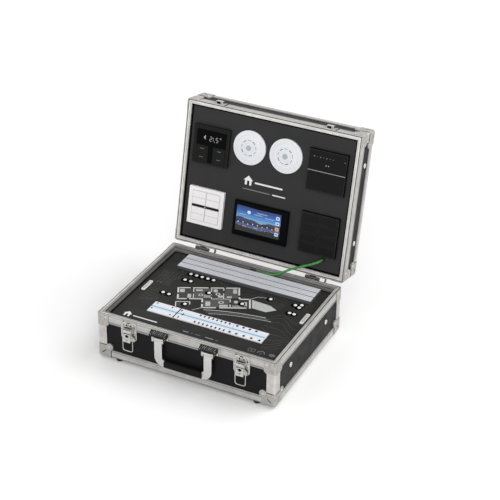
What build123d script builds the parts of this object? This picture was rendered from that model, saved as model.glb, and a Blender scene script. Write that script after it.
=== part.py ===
"""Home automation demonstration case, standing open.

An aluminium framed case: the lower tray holds a demonstration panel with
rail mounted devices, lamps and wiring ducts, and the lid holds a panel of
wall devices. Sizes are millimetres, Z is up, the front is on the -Y side, and
the origin is on the floor under the middle of the open case.
"""

import os
from math import cos, pi, radians, sin, tan

from build123d import *

os.makedirs("parts", exist_ok=True)

# Overall sizes of the closed case
case_w = 470.0
case_d = 374.0
base_h = 120.5
lid_h = 82.5
part_gap = 0.5
open_angle = 101.9

# Panels and the extruded frame
skin = 2.0
panel_t = 5.0
floor_t = 4.0
edge_face = 22.0
edge_r = 5.0
rim_face = 24.0
rim_w = 11.0
rim_cap_t = 4.0
rim_inner_t = 1.2
post_w = 23.0
post_grooves = 5
post_groove_first = 6.5
post_groove_pitch = 3.2
mitre_gap = 0.2
groove_w = 1.0
groove_deep = 0.5
groove_in = 4.0
seal_from, seal_to, seal_deep = 1.8, 3.3, 2.2
step_from, step_deep = 7.2, 2.0

# Corner fittings
cap_t = 1.5
cap_reach = 34.0
lobe_r = 9.5
lobe_at = 31.0
lobe_gap = 0.1
slot_l = 14.0
slot_w = 2.2
slot_at = 15.0
bracket_t = 1.2
bracket_w = 30.0
bracket_h = 32.0
bracket_cut = 8.0
rivet_r = 3.0
rivet_h = 1.2
rivet_in = 7.0
screw_cap_r = 6.5
screw_cap_h = 3.2
base_screws = ((-105.0, 70.0), (97.0, 70.0))
lid_screws = ((-95.0, 40.0), (105.0, 40.0))

# Rubber feet
foot_h = 7.0
foot_r = 9.0
foot_floor_r = 7.6
foot_in_x = 51.0
foot_in_y = 11.0

# Recess of each panel below its rim, and the battens under it
base_recess = 17.0
lid_recess = 6.0
board_t = 3.0
board_gap = 0.5
batten_w = 18.0
batten_h = 30.0

# Hinges
hinge_x = 154.0
hinge_len = 38.0
knuckle_mid = 17.0
knuckle_gap = 0.3
knuckle_r = 4.0
pin_out = 6.4
pin_up = 0.6
hinge_pin_r = 2.0
pin_fit = 0.05
leaf_t = 1.5
leaf_h = 19.0
leaf_in = 1.0
stop_x = 32.0
stop_t = 2.5
stop_gap = 0.2
stop_root_low = 16.0
stop_root_high = 6.4
stop_clear = 5.2
stop_near = 7.2
stop_far = 13.2
stop_tip = 5.2

# Handle
handle_x = 65.5
arm_w = 20.0
arm_t = 5.0
arm_bend_z = 52.0
arm_bend_r = 6.0
handle_pin_z = 100.0
handle_pin_out = 8.0
handle_pin_r = 2.5
handle_eye_r = 5.0
grip_h = 18.0
grip_t = 12.0
grip_r = 5.0
mount_w = 45.0
mount_low = 97.5
mount_top = 118.0
mount_t = 1.5
cheek_w = 5.0
cheek_gap = 0.4
cheek_h = 12.0
cheek_out = 13.0
cover_low = 107.0
cover_out = 13.5
cover_rise = 4.0

# Latches
latch_x = 149.0
latch_w = 42.0
latch_low = 66.0
latch_top = 119.5
latch_corner_r = 12.0
latch_t = 1.5
lever_w = 20.0
lever_top = 101.0
lever_low = 69.0
lever_pin_z = 97.0
lever_pin_out = 8.0
lever_pin_r = 2.0
lever_sheet = 1.4
lever_out = 12.0
lever_tab_out = 13.8
lever_tab_h = 10.0
lever_side_low = 81.0
ear_t = 1.2
ear_gap = 0.3
ear_h = 14.0
loop_pin_drop = 13.0
loop_wire_r = 1.3
loop_gap = 0.4
loop_len = 43.0
loop_bend_r = 6.0
loop_end_r = 2.0
loop_tail = 5.7
catch_w = 30.0
catch_hook_w = 18.0
catch_at = 5.0
catch_t = 1.5
catch_out = 8.5

# Wiring ducts
duct_x = 6.5
duct_len = 367.0
duct_w = 19.0
duct_h = 9.5
duct_pitch = 21.8
duct_first = 111.5
duct_count = 3
duct_wall = 1.2
duct_fit = 0.3
duct_groove_w = 1.2
duct_groove_at = 3.8
duct_groove_deep = 0.5

# Rail mounted devices, as widths in standard modules
module = 18.0
module_from = -148.5
row_y = -82.0
devices = (("din_power_supply", 4), ("din_controller", 8), ("din_output_module", 5))
device_gap = 0.4
device_chamfer = 0.8
front_h = 45.0
front_up = 2.0
front_deep = 20.0
body_h = 90.0
device_deep = 58.0
slot_gap = 0.5
rail_w = 35.0
rail_h = 7.5
rail_t = 1.0
rail_lip = 4.0
rail_over = 6.0
rail_foot_w = 20.0
rail_foot_t = 2.0
rail_foot_x = 120.0

# Lamps on the lower panel, by their places from its middle
lamps = (
    [(x, 93.8) for x in (-134.0, -118.0, -102.0, -86.0, -70.0)]
    + [(x, 63.0) for x in (-134.0, -118.0)]
    + [(-154.0, -13.0), (-137.0, -14.5), (-81.0, -36.0), (-52.5, 36.0)]
    + [(42.0, 28.5), (94.0, 80.0)]
    + [(159.0, 83.0), (173.0, 90.0), (172.0, 77.0), (173.0, 45.0), (161.0, 45.0)]
)
lamp_r = 3.3
lamp_h = 2.4
lamp_rim_r = 4.4
lamp_rim_h = 0.6
lamp_round = 1.5
lamp_stem_r = 2.5
lamp_stem_l = 12.0
lamp_fit = 0.1

# Plates for lifting the lower panel out
pulls = ((-204.5, -4.0), (205.0, 37.0))
pull_w = 10.0
pull_l = 46.0
pull_h = 2.5
pull_ribs = 9
pull_rib_w = 1.4
pull_rib_l = 6.0
pull_rib_turn = 30.0
pull_r = 2.8
pull_edge = 0.7

# Wall devices on the lid, by their middle: across, and up from the hinge side
device_proud = 8.0
device_r = 2.0
coupler_r = 26.0
coupler_deep = 22.0
coupler_fit = 1.0
thermo_at = (-158.5, 266.0)
thermo_side = 99.0
key_w = 33.0
key_l = 41.0
key_at = (24.0, -23.0)
switch_at = (-157.0, 104.5)
switch_side = 98.0
rocker_w = 38.4
rocker_l = 35.8
rocker_gap = 0.4
bar_h = 6.0
bar_proud = 0.4
key_t = 2.6
key_proud = 0.8
key_under = 1.6
key_seat_r = 1.0
key_seat_l = 18.0
key_seat_fit = 0.08
keypads = ((156.0, 267.0), (155.0, 106.0))
keypad_w = 103.0
keypad_l = 106.0
glass_t = 3.0
glass_in = 1.5
display_at = (-3.0, 99.0)
display_w = 150.0
display_l = 92.0
detectors = ((-55.0, 283.0), (44.0, 283.0))
detector_r = 43.5
detector_h = 9.5
detector_edge = 5.0
detector_step = 1.0
ring_radii = (36.0, 28.0)
ring_w = 0.8
ring_deep = 0.5
vent_r = 19.5
vent_count = 18
vent_l = 4.0
vent_w = 1.6
vent_deep = 1.2
lens_r = 5.0
lens_round = 1.5
lens_sunk = 2.0
lens_up = 1.8

# Supply inlet on the rear wall, as in most such cases
inlet_x = -120.0
inlet_z = 52.0
inlet_w = 28.0
inlet_h = 20.0
inlet_rim = 5.0
inlet_rim_t = 3.0
inlet_wall = 2.0
inlet_deep = 17.0
inlet_fit = 0.3
pin_blade = (2.0, 4.0, 14.0)
pin_places = ((-7.0, -3.0), (7.0, -3.0), (0.0, 0.0))

# Bus cable between the two panels, its gland and its grommet
cable_d = 5.6
gland_x = 1.0
gland_y = 170.2
gland_l = 14.0
gland_w = 9.4
gland_h = 10.5
cable_up = 5.5
cable_exit = 9.0
arc_share = 0.45
grommet_x = 173.0
grommet_v = 44.5
grommet_r = 6.0
grommet_tip_r = 3.6
grommet_h = 4.0

# Values that follow from the sizes above
half_w = case_w / 2
half_d = case_d / 2
inner_w = case_w - 2 * skin
inner_d = case_d - 2 * skin
wall_in = skin + panel_t
signs = (-1, 1)
corners = [(i, j) for i in signs for j in signs]
cap_r = edge_r + cap_t
lean = radians(open_angle - 90)
front_reach = half_d + handle_pin_out + grip_t / 2
low = (Align.CENTER, Align.CENTER, Align.MIN)
high = (Align.CENTER, Align.CENTER, Align.MAX)


def closed_lid(middle_y):
    """The plane of the shut lid: origin on its top, Z into the case, Y to the front."""
    top = foot_h + base_h + part_gap + lid_h
    return Plane((0, middle_y, top), x_dir=(1, 0, 0), z_dir=(0, 0, -1))


def opened(plane, middle_y):
    """The plane carried round the hinge pins to where the lid stands open."""
    pin = Location((0, middle_y + half_d + pin_out, foot_h + base_h + pin_up))
    turn = Location((0, 0, 0), (-open_angle, 0, 0))
    return Plane(pin * turn * pin.inverse() * plane.location)


# The base is set forward so that the origin is under the middle of the open case
rear_arc = opened(closed_lid(0), 0).from_local_coords(
    Vector(0, half_d - edge_r, edge_r)
)
base_y = (front_reach - rear_arc.Y - cap_r) / 2
base = Plane((0, base_y, foot_h))
lid = opened(closed_lid(base_y), base_y)
front = Plane((0, base_y - half_d, foot_h), x_dir=(1, 0, 0), z_dir=(0, -1, 0))


def keep(part, name):
    """Labels a finished piece and writes its file."""
    part.label = name
    export_step(part, f"parts/{name}.step")


def side_plane(x, tray=base):
    """A plane across a tray at x: its own X is the tray's Y, its own Y the tray's Z."""
    return Plane(
        tray.from_local_coords(Vector(x, 0, 0)), x_dir=tray.y_dir, z_dir=tray.x_dir
    )


def on_side(s, y, z, out):
    """A place on the left or right face, with its Z pointing outward."""
    return Location((s * (half_w + out), y, z), (0, 90 * s, 0))


def on_end(s, x, z, out):
    """A place on the front or rear face, with its Z pointing outward."""
    return Location((x, s * (half_d + out), z), (-90 * s, 0, 0))


# Frames, walls and corner fittings of the base and of the lid
trays = (
    ("base", base, base_h, base_recess, base_screws),
    ("lid", lid, lid_h, lid_recess, lid_screws),
)
for tray, plane, height, recess, screws in trays:
    up = Axis(plane.origin, plane.z_dir)
    rim_low = height - rim_face
    board_low = height - recess - board_t
    wall_h = height - rim_cap_t - skin

    with BuildPart(plane.offset(skin)) as closing_panel:
        Box(inner_w - 2 * panel_t, inner_d - 2 * panel_t, floor_t, align=low)
    keep(closing_panel.part, "base_floor_panel" if tray == "base" else "lid_back_panel")

    with BuildPart(plane.offset(skin)) as wall_panels:
        with Locations(*[(s * (inner_w - panel_t) / 2, 0, 0) for s in signs]):
            Box(panel_t, inner_d - 2 * (panel_t + mitre_gap), wall_h, align=low)
        with Locations(*[(0, s * (inner_d - panel_t) / 2, 0) for s in signs]):
            Box(inner_w, panel_t, wall_h, align=low)
        if tray == "base":
            with Locations((inlet_x, (inner_d - panel_t) / 2, inlet_z - skin)):
                cut_w, cut_h = inlet_w + 2 * inlet_fit, inlet_h + 2 * inlet_fit
                Box(cut_w, 2 * panel_t, cut_h, mode=Mode.SUBTRACT)
    keep(wall_panels.part, f"{tray}_wall_panels")

    # The outside of the tray, the bars of its frame, and the slits at their mitres
    with BuildPart(mode=Mode.PRIVATE) as outside:
        Box(case_w, case_d, height, align=low)
        fillet(outside.edges().filter_by(Axis.Z), edge_r)
        fillet(outside.faces().sort_by(Axis.Z)[0].edges(), edge_r)

    with BuildPart(mode=Mode.PRIVATE) as bars:
        add(outside.part)
        open_w, open_d = case_w - 2 * post_w, case_d - 2 * post_w
        with Locations((0, 0, edge_face)):
            Box(open_w, case_d, rim_low - edge_face, align=low, mode=Mode.SUBTRACT)
            Box(case_w, open_d, rim_low - edge_face, align=low, mode=Mode.SUBTRACT)
        face_w, face_d = case_w - 2 * edge_face, case_d - 2 * edge_face
        Box(face_w, face_d, edge_face, align=low, mode=Mode.SUBTRACT)

    with BuildPart(mode=Mode.PRIVATE) as mitres:
        for i, j in corners:
            with Locations(Location((i * half_w, j * half_d, height / 2), (0, 0, 45 * i * j))):
                Box(4 * edge_face, mitre_gap, 2 * height)

    with BuildPart(plane) as edge_rails:
        Box(case_w, case_d, edge_face, align=low)
        fillet(edge_rails.edges().filter_by(up), edge_r)
        fillet(edge_rails.faces().sort_by(up)[0].edges(), edge_r)
        Box(
            case_w - 2 * edge_face,
            case_d - 2 * edge_face,
            edge_face,
            align=low,
            mode=Mode.SUBTRACT,
        )
        with Locations((0, 0, skin)):
            Box(inner_w, inner_d, edge_face, align=low, mode=Mode.SUBTRACT)
        with BuildSketch(plane.offset(edge_face - groove_in)):
            Rectangle(case_w + edge_r, case_d + edge_r)
            RectangleRounded(
                case_w - 2 * groove_deep,
                case_d - 2 * groove_deep,
                edge_r - groove_deep,
                mode=Mode.SUBTRACT,
            )
        extrude(amount=groove_w, mode=Mode.SUBTRACT)
        add(mitres.part, mode=Mode.SUBTRACT)
    keep(edge_rails.part, f"{tray}_edge_rails")

    with BuildPart(plane) as corner_posts:
        with BuildSketch(plane.offset(edge_face)):
            RectangleRounded(case_w, case_d, edge_r)
            Rectangle(inner_w, inner_d, mode=Mode.SUBTRACT)
            Rectangle(case_w - 2 * post_w, case_d, mode=Mode.SUBTRACT)
            Rectangle(case_w, case_d - 2 * post_w, mode=Mode.SUBTRACT)
            for n in range(post_grooves):
                near = post_groove_first + n * post_groove_pitch
                with Locations(*[(i * (half_w - near), j * half_d) for i, j in corners]):
                    Rectangle(groove_w, 2 * groove_deep, mode=Mode.SUBTRACT)
                with Locations(*[(i * half_w, j * (half_d - near)) for i, j in corners]):
                    Rectangle(2 * groove_deep, groove_w, mode=Mode.SUBTRACT)
        extrude(amount=rim_low - edge_face)
    keep(corner_posts.part, f"{tray}_corner_posts")

    # Rim rails: outer face, cap with its seal groove and step, and inner wall
    with BuildPart(plane) as rim_rails:
        with BuildSketch(plane.offset(rim_low)):
            RectangleRounded(case_w, case_d, edge_r)
            Rectangle(inner_w, inner_d, mode=Mode.SUBTRACT)
        extrude(amount=rim_face)
        with BuildSketch(plane.offset(height - rim_cap_t)):
            RectangleRounded(case_w, case_d, edge_r)
            Rectangle(case_w - 2 * rim_w, case_d - 2 * rim_w, mode=Mode.SUBTRACT)
        extrude(amount=rim_cap_t)
        with BuildSketch(plane.offset(board_low + board_gap)):
            inner_wall = rim_w - rim_inner_t
            Rectangle(case_w - 2 * inner_wall, case_d - 2 * inner_wall)
            Rectangle(case_w - 2 * rim_w, case_d - 2 * rim_w, mode=Mode.SUBTRACT)
        extrude(amount=recess + board_t - board_gap)
        for near, far, deep in (
            (seal_from, seal_to, seal_deep),
            (step_from, inner_wall, step_deep),
        ):
            with BuildSketch(plane.offset(height - deep)):
                Rectangle(case_w - 2 * near, case_d - 2 * near)
                Rectangle(case_w - 2 * far, case_d - 2 * far, mode=Mode.SUBTRACT)
            extrude(amount=deep, mode=Mode.SUBTRACT)
        with BuildSketch(plane.offset(rim_low + groove_in)):
            Rectangle(case_w + edge_r, case_d + edge_r)
            RectangleRounded(
                case_w - 2 * groove_deep,
                case_d - 2 * groove_deep,
                edge_r - groove_deep,
                mode=Mode.SUBTRACT,
            )
        extrude(amount=groove_w, mode=Mode.SUBTRACT)
        add(mitres.part, mode=Mode.SUBTRACT)
    keep(rim_rails.part, f"{tray}_rim_rails")

    # Pressed corners over the rails, each with a lobe and a slot on its faces
    with BuildPart(plane) as ball_corners:
        with Locations((0, 0, -cap_t)):
            Box(case_w + 2 * cap_t, case_d + 2 * cap_t, cap_reach + cap_t, align=low)
        fillet(ball_corners.edges().filter_by(up), cap_r)
        fillet(ball_corners.faces().sort_by(up)[0].edges(), cap_r)
        add(outside.part, mode=Mode.SUBTRACT)
        Box(case_w - 2 * cap_reach, 2 * case_d, 3 * cap_reach, mode=Mode.SUBTRACT)
        Box(2 * case_w, case_d - 2 * cap_reach, 3 * cap_reach, mode=Mode.SUBTRACT)
        for i, j in corners:
            x, y = i * (half_w - lobe_at), j * (half_d - lobe_at)
            with Locations(
                Location((x, y, -cap_t), (0, 0, 0)),
                Location((i * (half_w + cap_t), y, lobe_at), (0, -90 * i, 0)),
                Location((x, j * (half_d + cap_t), lobe_at), (90 * j, 0, 0)),
            ):
                Cylinder(lobe_r, cap_t + skin - lobe_gap, align=low)
        add(bars.part, mode=Mode.SUBTRACT)
        for i, j in corners:
            x, y = i * (half_w - slot_at), j * (half_d - slot_at)
            with Locations(Location((i * half_w, y, slot_at), (-45 * j, 0, 0))):
                Box(4 * cap_t, slot_l, slot_w, mode=Mode.SUBTRACT)
            with Locations(Location((x, j * half_d, slot_at), (0, 45 * i, 0))):
                Box(slot_l, 4 * cap_t, slot_w, mode=Mode.SUBTRACT)
    keep(ball_corners.part, f"{tray}_ball_corners")

    with BuildPart(plane) as rim_brackets:
        with Locations((0, 0, height)):
            Box(case_w + 2 * bracket_t, case_d + 2 * bracket_t, bracket_h, align=high)
        fillet(rim_brackets.edges().filter_by(up), edge_r + bracket_t)
        Box(case_w - 2 * bracket_w, 2 * case_d, 3 * height, mode=Mode.SUBTRACT)
        Box(2 * case_w, case_d - 2 * bracket_w, 3 * height, mode=Mode.SUBTRACT)
        bracket_low = height - bracket_h
        for i, j in corners:
            x, y = i * (half_w - bracket_w), j * (half_d - bracket_w)
            with Locations(
                Location((x, j * half_d, bracket_low), (0, 45, 0)),
                Location((i * half_w, y, bracket_low), (45, 0, 0)),
            ):
                Box(bracket_cut, bracket_cut, bracket_cut, mode=Mode.SUBTRACT)
        add(outside.part, mode=Mode.SUBTRACT)
    keep(rim_brackets.part, f"{tray}_rim_brackets")

    # Rivet heads on the fittings, and the caps of the screws in the battens
    with BuildPart(mode=Mode.PRIVATE) as rivet:
        Cylinder(rivet_r, rivet_h, align=low)
        fillet(rivet.faces().sort_by(Axis.Z)[-1].edges(), rivet_h / 2)
    with BuildPart(mode=Mode.PRIVATE) as screw_cap:
        Cylinder(screw_cap_r, screw_cap_h, align=low)
        fillet(screw_cap.faces().sort_by(Axis.Z)[-1].edges(), screw_cap_h / 2)
    with BuildPart(plane) as rivets:
        for i, j in corners:
            x, y = i * (half_w - lobe_at), j * (half_d - lobe_at)
            across, along = half_w - bracket_w + rivet_in, half_d - bracket_w + rivet_in
            with Locations(
                Location((x, y, -cap_t), (180, 0, 0)),
                on_side(i, y, lobe_at, cap_t),
                on_end(j, x, lobe_at, cap_t),
                on_side(i, j * along, height - rivet_in, bracket_t),
                on_end(j, i * across, height - rivet_in, bracket_t),
            ):
                add(rivet.part)
        with Locations(*[on_side(s, y, z, -skin) for s in signs for y, z in screws]):
            add(screw_cap.part)
    keep(rivets.part, f"{tray}_rivets")

    # Battens on the walls, which carry the panel of devices
    with BuildPart(plane.offset(board_low)) as battens:
        long_in = half_d - wall_in - batten_w / 2
        side_in = half_w - wall_in - batten_w / 2
        side_l = case_d - 2 * wall_in - 2 * batten_w - 2 * board_gap
        with Locations(*[(0, s * long_in, 0) for s in signs]):
            Box(case_w - 2 * wall_in, batten_w, batten_h, align=high)
        with Locations(*[(s * side_in, 0, 0) for s in signs]):
            Box(batten_w, side_l, batten_h, align=high)
    keep(battens.part, f"{tray}_battens")

# Rubber feet
with BuildPart(base) as rubber_feet:
    with Locations(*[(i * (half_w - foot_in_x), j * (half_d - foot_in_y)) for i, j in corners]):
        Cone(foot_floor_r, foot_r, foot_h, align=high)
keep(rubber_feet.part, "rubber_feet")

# Hinges: leaves on both trays, the pins, and the arms that stop the lid
lid_pin_z = lid_h + part_gap - pin_up
base_pin_z = base_h + pin_up
knuckle_end = (hinge_len - knuckle_mid) / 2 - knuckle_gap
knuckle_at = (hinge_len - knuckle_end) / 2
hinge_sides = (
    ("hinge_base_leaves", base, 1, base_h, base_pin_z, (-knuckle_at, knuckle_at), knuckle_end),
    ("hinge_lid_leaves", lid, -1, lid_h, lid_pin_z, (0,), knuckle_mid),
)
leaf_w = hinge_len / 2 + stop_x + stop_t
leaf_mid = leaf_w / 2 - hinge_len / 2
for name, tray, s, height, pin_z, knuckles, length in hinge_sides:
    with BuildPart(tray) as leaves:
        for x in (-hinge_x, hinge_x):
            with Locations((x + leaf_mid, s * (half_d + leaf_t / 2), height - leaf_in)):
                Box(leaf_w, leaf_t, leaf_h, align=high)
            for offset_x in knuckles:
                place = (x + offset_x, s * (half_d + pin_out), pin_z)
                with Locations(Location(place, (0, 90, 0))):
                    Cylinder(knuckle_r, length)
                web = (x + offset_x, s * (half_d + pin_out / 2), pin_z - knuckle_r)
                with Locations(web):
                    Box(length, pin_out, leaf_t, align=low)
            with Locations(Location((x, s * (half_d + pin_out), pin_z), (0, 90, 0))):
                Cylinder(hinge_pin_r + pin_fit, 2 * hinge_len, mode=Mode.SUBTRACT)
            if tray is base:
                stop_u = Vector(sin(lean), cos(lean))
                stop_n = Vector(cos(lean), -sin(lean))
                at_pin = Vector(half_d + pin_out, base_pin_z)
                top = pin_out - leaf_t - stop_gap
                with BuildSketch(side_plane(x + stop_x)):
                    with BuildLine():
                        Polyline(
                            (half_d, base_pin_z - stop_root_low),
                            (half_d, base_pin_z - stop_root_high),
                            at_pin + stop_n * stop_clear - stop_u * knuckle_r,
                            at_pin + stop_n * stop_near + stop_u * top,
                            at_pin + stop_n * stop_far + stop_u * top,
                            at_pin + stop_n * stop_far - stop_u * stop_tip,
                            close=True,
                        )
                    make_face()
                extrude(amount=stop_t / 2, both=True)
    keep(leaves.part, name)

with BuildPart(base) as hinge_pins:
    for x in (-hinge_x, hinge_x):
        with Locations(Location((x, half_d + pin_out, base_pin_z), (0, 90, 0))):
            Cylinder(hinge_pin_r, hinge_len + 1)
keep(hinge_pins.part, "hinge_pins")

# Handle: mounts with their covers and pins, two bent arms and a grip
cheek_at = (arm_w + cheek_w) / 2 + cheek_gap
with BuildPart(base) as handle_mounts:
    for x in (-handle_x, handle_x):
        with Locations((x, -half_d - mount_t / 2, mount_low)):
            Box(mount_w, mount_t, mount_top - mount_low, align=low)
        for s in signs:
            with Locations((x + s * cheek_at, -half_d - cheek_out / 2, handle_pin_z)):
                Box(cheek_w, cheek_out, cheek_h)
        with Locations(Location((x, -half_d - handle_pin_out, handle_pin_z), (0, 90, 0))):
            Cylinder(handle_pin_r, 2 * (cheek_at + cheek_w), mode=Mode.SUBTRACT)
keep(handle_mounts.part, "handle_mounts")

with BuildPart() as handle_covers:
    for x in (-handle_x, handle_x):
        with BuildSketch(side_plane(x)):
            with BuildLine():
                Polyline(
                    (-half_d - mount_t, cover_low),
                    (-half_d - cover_out, cover_low),
                    (-half_d - cover_out, cover_low + cover_rise),
                    (-half_d - mount_t, mount_top),
                    close=True,
                )
            make_face()
        extrude(amount=mount_w / 2, both=True)
keep(handle_covers.part, "handle_covers")

with BuildPart(base) as handle_pins:
    for x in (-handle_x, handle_x):
        with Locations(Location((x, -half_d - handle_pin_out, handle_pin_z), (0, 90, 0))):
            Cylinder(handle_pin_r, arm_w + 2 * cheek_w)
keep(handle_pins.part, "handle_pins")

bend_x = handle_x - arm_w / 2 - arm_bend_r
arm_plane = front.offset(handle_pin_out - arm_t / 2)
with BuildPart(arm_plane) as handle_arms:
    with BuildSketch(arm_plane):
        with BuildLine():
            inner_arc = CenterArc((bend_x, arm_bend_z), arm_bend_r, -90, 90)
            outer_arc = CenterArc((bend_x, arm_bend_z), arm_bend_r + arm_w, -90, 90)
            Line(inner_arc @ 0, outer_arc @ 0)
            Polyline(
                inner_arc @ 1,
                (handle_x - arm_w / 2, handle_pin_z),
                (handle_x + arm_w / 2, handle_pin_z),
                outer_arc @ 1,
            )
        make_face()
    extrude(amount=arm_t)
    with Locations(Location((handle_x, handle_pin_z, arm_t / 2), (0, 90, 0))):
        Cylinder(handle_eye_r, arm_w)
        Cylinder(handle_pin_r + pin_fit, arm_w, mode=Mode.SUBTRACT)
    mirror(about=Plane.YZ)
keep(handle_arms.part, "handle_arms")

grip_z = arm_bend_z - arm_bend_r - arm_w / 2
with BuildPart(base) as handle_grip:
    with Locations((0, -half_d - handle_pin_out, grip_z)):
        Box(2 * bend_x, grip_t, grip_h)
    fillet(handle_grip.edges().filter_by(Axis.X), grip_r)
keep(handle_grip.part, "handle_grip")

# Latches: plates with ears, and for each a lever that carries a wire loop
ear_at = lever_w / 2 + ear_gap + ear_t / 2
lever_y = -half_d - lever_pin_out
loop_z = lever_pin_z - loop_pin_drop
leg_at = ear_at + ear_t / 2 + loop_gap + loop_wire_r
with BuildPart() as latch_plates:
    for x in (-latch_x, latch_x):
        with BuildSketch(front):
            with Locations((x, (latch_low + latch_top) / 2)):
                plate = Rectangle(latch_w, latch_top - latch_low)
            fillet(plate.vertices().group_by(Axis.Y)[0], latch_corner_r)
        extrude(amount=latch_t)
        for s in signs:
            with BuildSketch(side_plane(x + s * ear_at)):
                with Locations(((lever_y - half_d) / 2, lever_pin_z)):
                    Rectangle(lever_pin_out, ear_h)
                with Locations((lever_y, lever_pin_z)):
                    Ellipse(2 * lever_pin_r, ear_h / 2)
                    Circle(lever_pin_r + pin_fit, mode=Mode.SUBTRACT)
            extrude(amount=ear_t / 2, both=True)
keep(latch_plates.part, "latch_plates")

for side, x in (("left", -latch_x), ("right", latch_x)):
    with BuildPart() as latch_lever:
        with BuildSketch(side_plane(x)):
            with BuildLine():
                Polyline(
                    (-half_d - lever_pin_out / 2, lever_top),
                    (-half_d - lever_out, lever_top),
                    (-half_d - lever_out, lever_low + lever_tab_h),
                    (-half_d - lever_tab_out, lever_low),
                    (-half_d - lever_tab_out + lever_sheet, lever_low),
                    (-half_d - lever_out + lever_sheet, lever_low + lever_tab_h),
                    (-half_d - lever_pin_out / 2, lever_side_low),
                    close=True,
                )
            make_face()
        extrude(amount=lever_w / 2, both=True)
        with BuildSketch(side_plane(x)):
            with Locations((-half_d - lever_out + lever_sheet, lever_top - lever_sheet)):
                Rectangle(lever_out, lever_top, align=(Align.MIN, Align.MAX))
        extrude(amount=lever_w / 2 - lever_sheet, both=True, mode=Mode.SUBTRACT)
        with BuildSketch(side_plane(x)):
            with Locations((lever_y, lever_pin_z)):
                Circle(lever_pin_r)
        extrude(amount=ear_at + ear_t / 2, both=True)
        with BuildSketch(side_plane(x)):
            with Locations((lever_y, loop_z)):
                Circle(loop_wire_r + pin_fit)
        extrude(amount=lever_w, both=True, mode=Mode.SUBTRACT)
    keep(latch_lever.part, f"{side}_latch_lever")

    with BuildPart() as latch_loop:
        with BuildLine(front.offset(lever_pin_out)) as wire:
            FilletPolyline(
                (x - leg_at + loop_tail, loop_z),
                (x - leg_at, loop_z),
                (x - leg_at, loop_z - loop_len),
                (x + leg_at, loop_z - loop_len),
                (x + leg_at, loop_z),
                (x + leg_at - loop_tail, loop_z),
                radius=[loop_end_r, loop_bend_r, loop_bend_r, loop_end_r],
            )
        with BuildSketch(Plane(wire.line @ 0, z_dir=wire.line % 0)):
            Circle(loop_wire_r)
        sweep()
    keep(latch_loop.part, f"{side}_latch_loop")

# Catches on the lid, which the loops pull down on when the case is shut
with BuildPart() as latch_catches:
    for x in (-latch_x, latch_x):
        with BuildSketch(side_plane(x, lid)):
            hook_z = lid_h - catch_at + loop_wire_r
            with Locations((half_d, lid_h - leaf_in)):
                Rectangle(catch_t, leaf_h, align=(Align.MIN, Align.MAX))
        extrude(amount=catch_w / 2, both=True)
        with BuildSketch(side_plane(x, lid)):
            with Locations((half_d, hook_z)):
                Rectangle(catch_out, catch_t, align=(Align.MIN, Align.MIN))
            with Locations((half_d + catch_out, hook_z + catch_t)):
                Rectangle(catch_t, 2 * catch_at, align=(Align.MAX, Align.MAX))
        extrude(amount=catch_hook_w / 2, both=True)
keep(latch_catches.part, "latch_catches")

# Supply inlet through the rear wall, with its three contacts
wall_face = half_d - skin
inlet_at = base.from_local_coords(Vector(inlet_x, wall_face, inlet_z))
inlet = Plane(inlet_at, x_dir=(-1, 0, 0), z_dir=(0, 1, 0))
pin_w, pin_h, pin_l = pin_blade
with BuildPart(inlet) as mains_inlet:
    with BuildSketch(inlet):
        RectangleRounded(inlet_w + 2 * inlet_rim, inlet_h + 2 * inlet_rim, inlet_wall)
    extrude(amount=inlet_rim_t)
    with Locations((0, 0, inlet_rim_t)):
        Box(inlet_w, inlet_h, inlet_deep + inlet_wall, align=high)
        mouth_w, mouth_h = inlet_w - 2 * inlet_wall, inlet_h - 2 * inlet_wall
        Box(mouth_w, mouth_h, inlet_deep, align=high, mode=Mode.SUBTRACT)
    with Locations(*[(x, z, inlet_rim_t - inlet_deep) for x, z in pin_places]):
        Box(pin_w, pin_h, pin_l, align=low)
keep(mains_inlet.part, "mains_inlet")

# Demonstration panel in the base, with holes for the lamps and the devices
board_z = base_h - base_recess
row_l = module * sum(count for name, count in devices)
row_x = module_from + row_l / 2
with BuildPart(base.offset(board_z)) as demo_panel:
    Box(
        case_w - 2 * rim_w - 2 * board_gap,
        case_d - 2 * rim_w - 2 * board_gap,
        board_t,
        align=high,
    )
    with Locations((row_x, row_y, 0)):
        Box(row_l + 2 * slot_gap, front_h + 2 * slot_gap, 3 * board_t, mode=Mode.SUBTRACT)
    with Locations(*lamps):
        Cylinder(lamp_stem_r + lamp_fit, 3 * board_t, mode=Mode.SUBTRACT)
keep(demo_panel.part, "demo_panel")

with BuildPart(base.offset(board_z)) as panel_lamps:
    with Locations(*lamps):
        Cylinder(lamp_rim_r, lamp_rim_h, align=low)
        Cylinder(lamp_stem_r, lamp_stem_l, align=high)
        Cylinder(lamp_r, lamp_h, align=low)
    tops = panel_lamps.faces().filter_by(Plane.XY).group_by(Axis.Z)[-1]
    fillet(tops.edges(), lamp_round)
keep(panel_lamps.part, "panel_lamps")

with BuildPart(base.offset(board_z)) as finger_pulls:
    for x, y in pulls:
        with Locations((x, y, 0)):
            Box(pull_w, pull_l, pull_h, align=low)
    fillet(finger_pulls.edges().filter_by(Axis.Z), pull_r)
    chamfer(finger_pulls.faces().sort_by(Axis.Z)[-2:].edges(), pull_edge)
    step = pull_l / (pull_ribs + 2)
    for x, y in pulls:
        for n in range(pull_ribs):
            across = y + (n - (pull_ribs - 1) / 2) * step
            with Locations(Location((x, across, pull_h), (0, 0, pull_rib_turn))):
                Box(pull_rib_l, pull_rib_w, pull_h, mode=Mode.SUBTRACT)
keep(finger_pulls.part, "finger_pulls")

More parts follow.
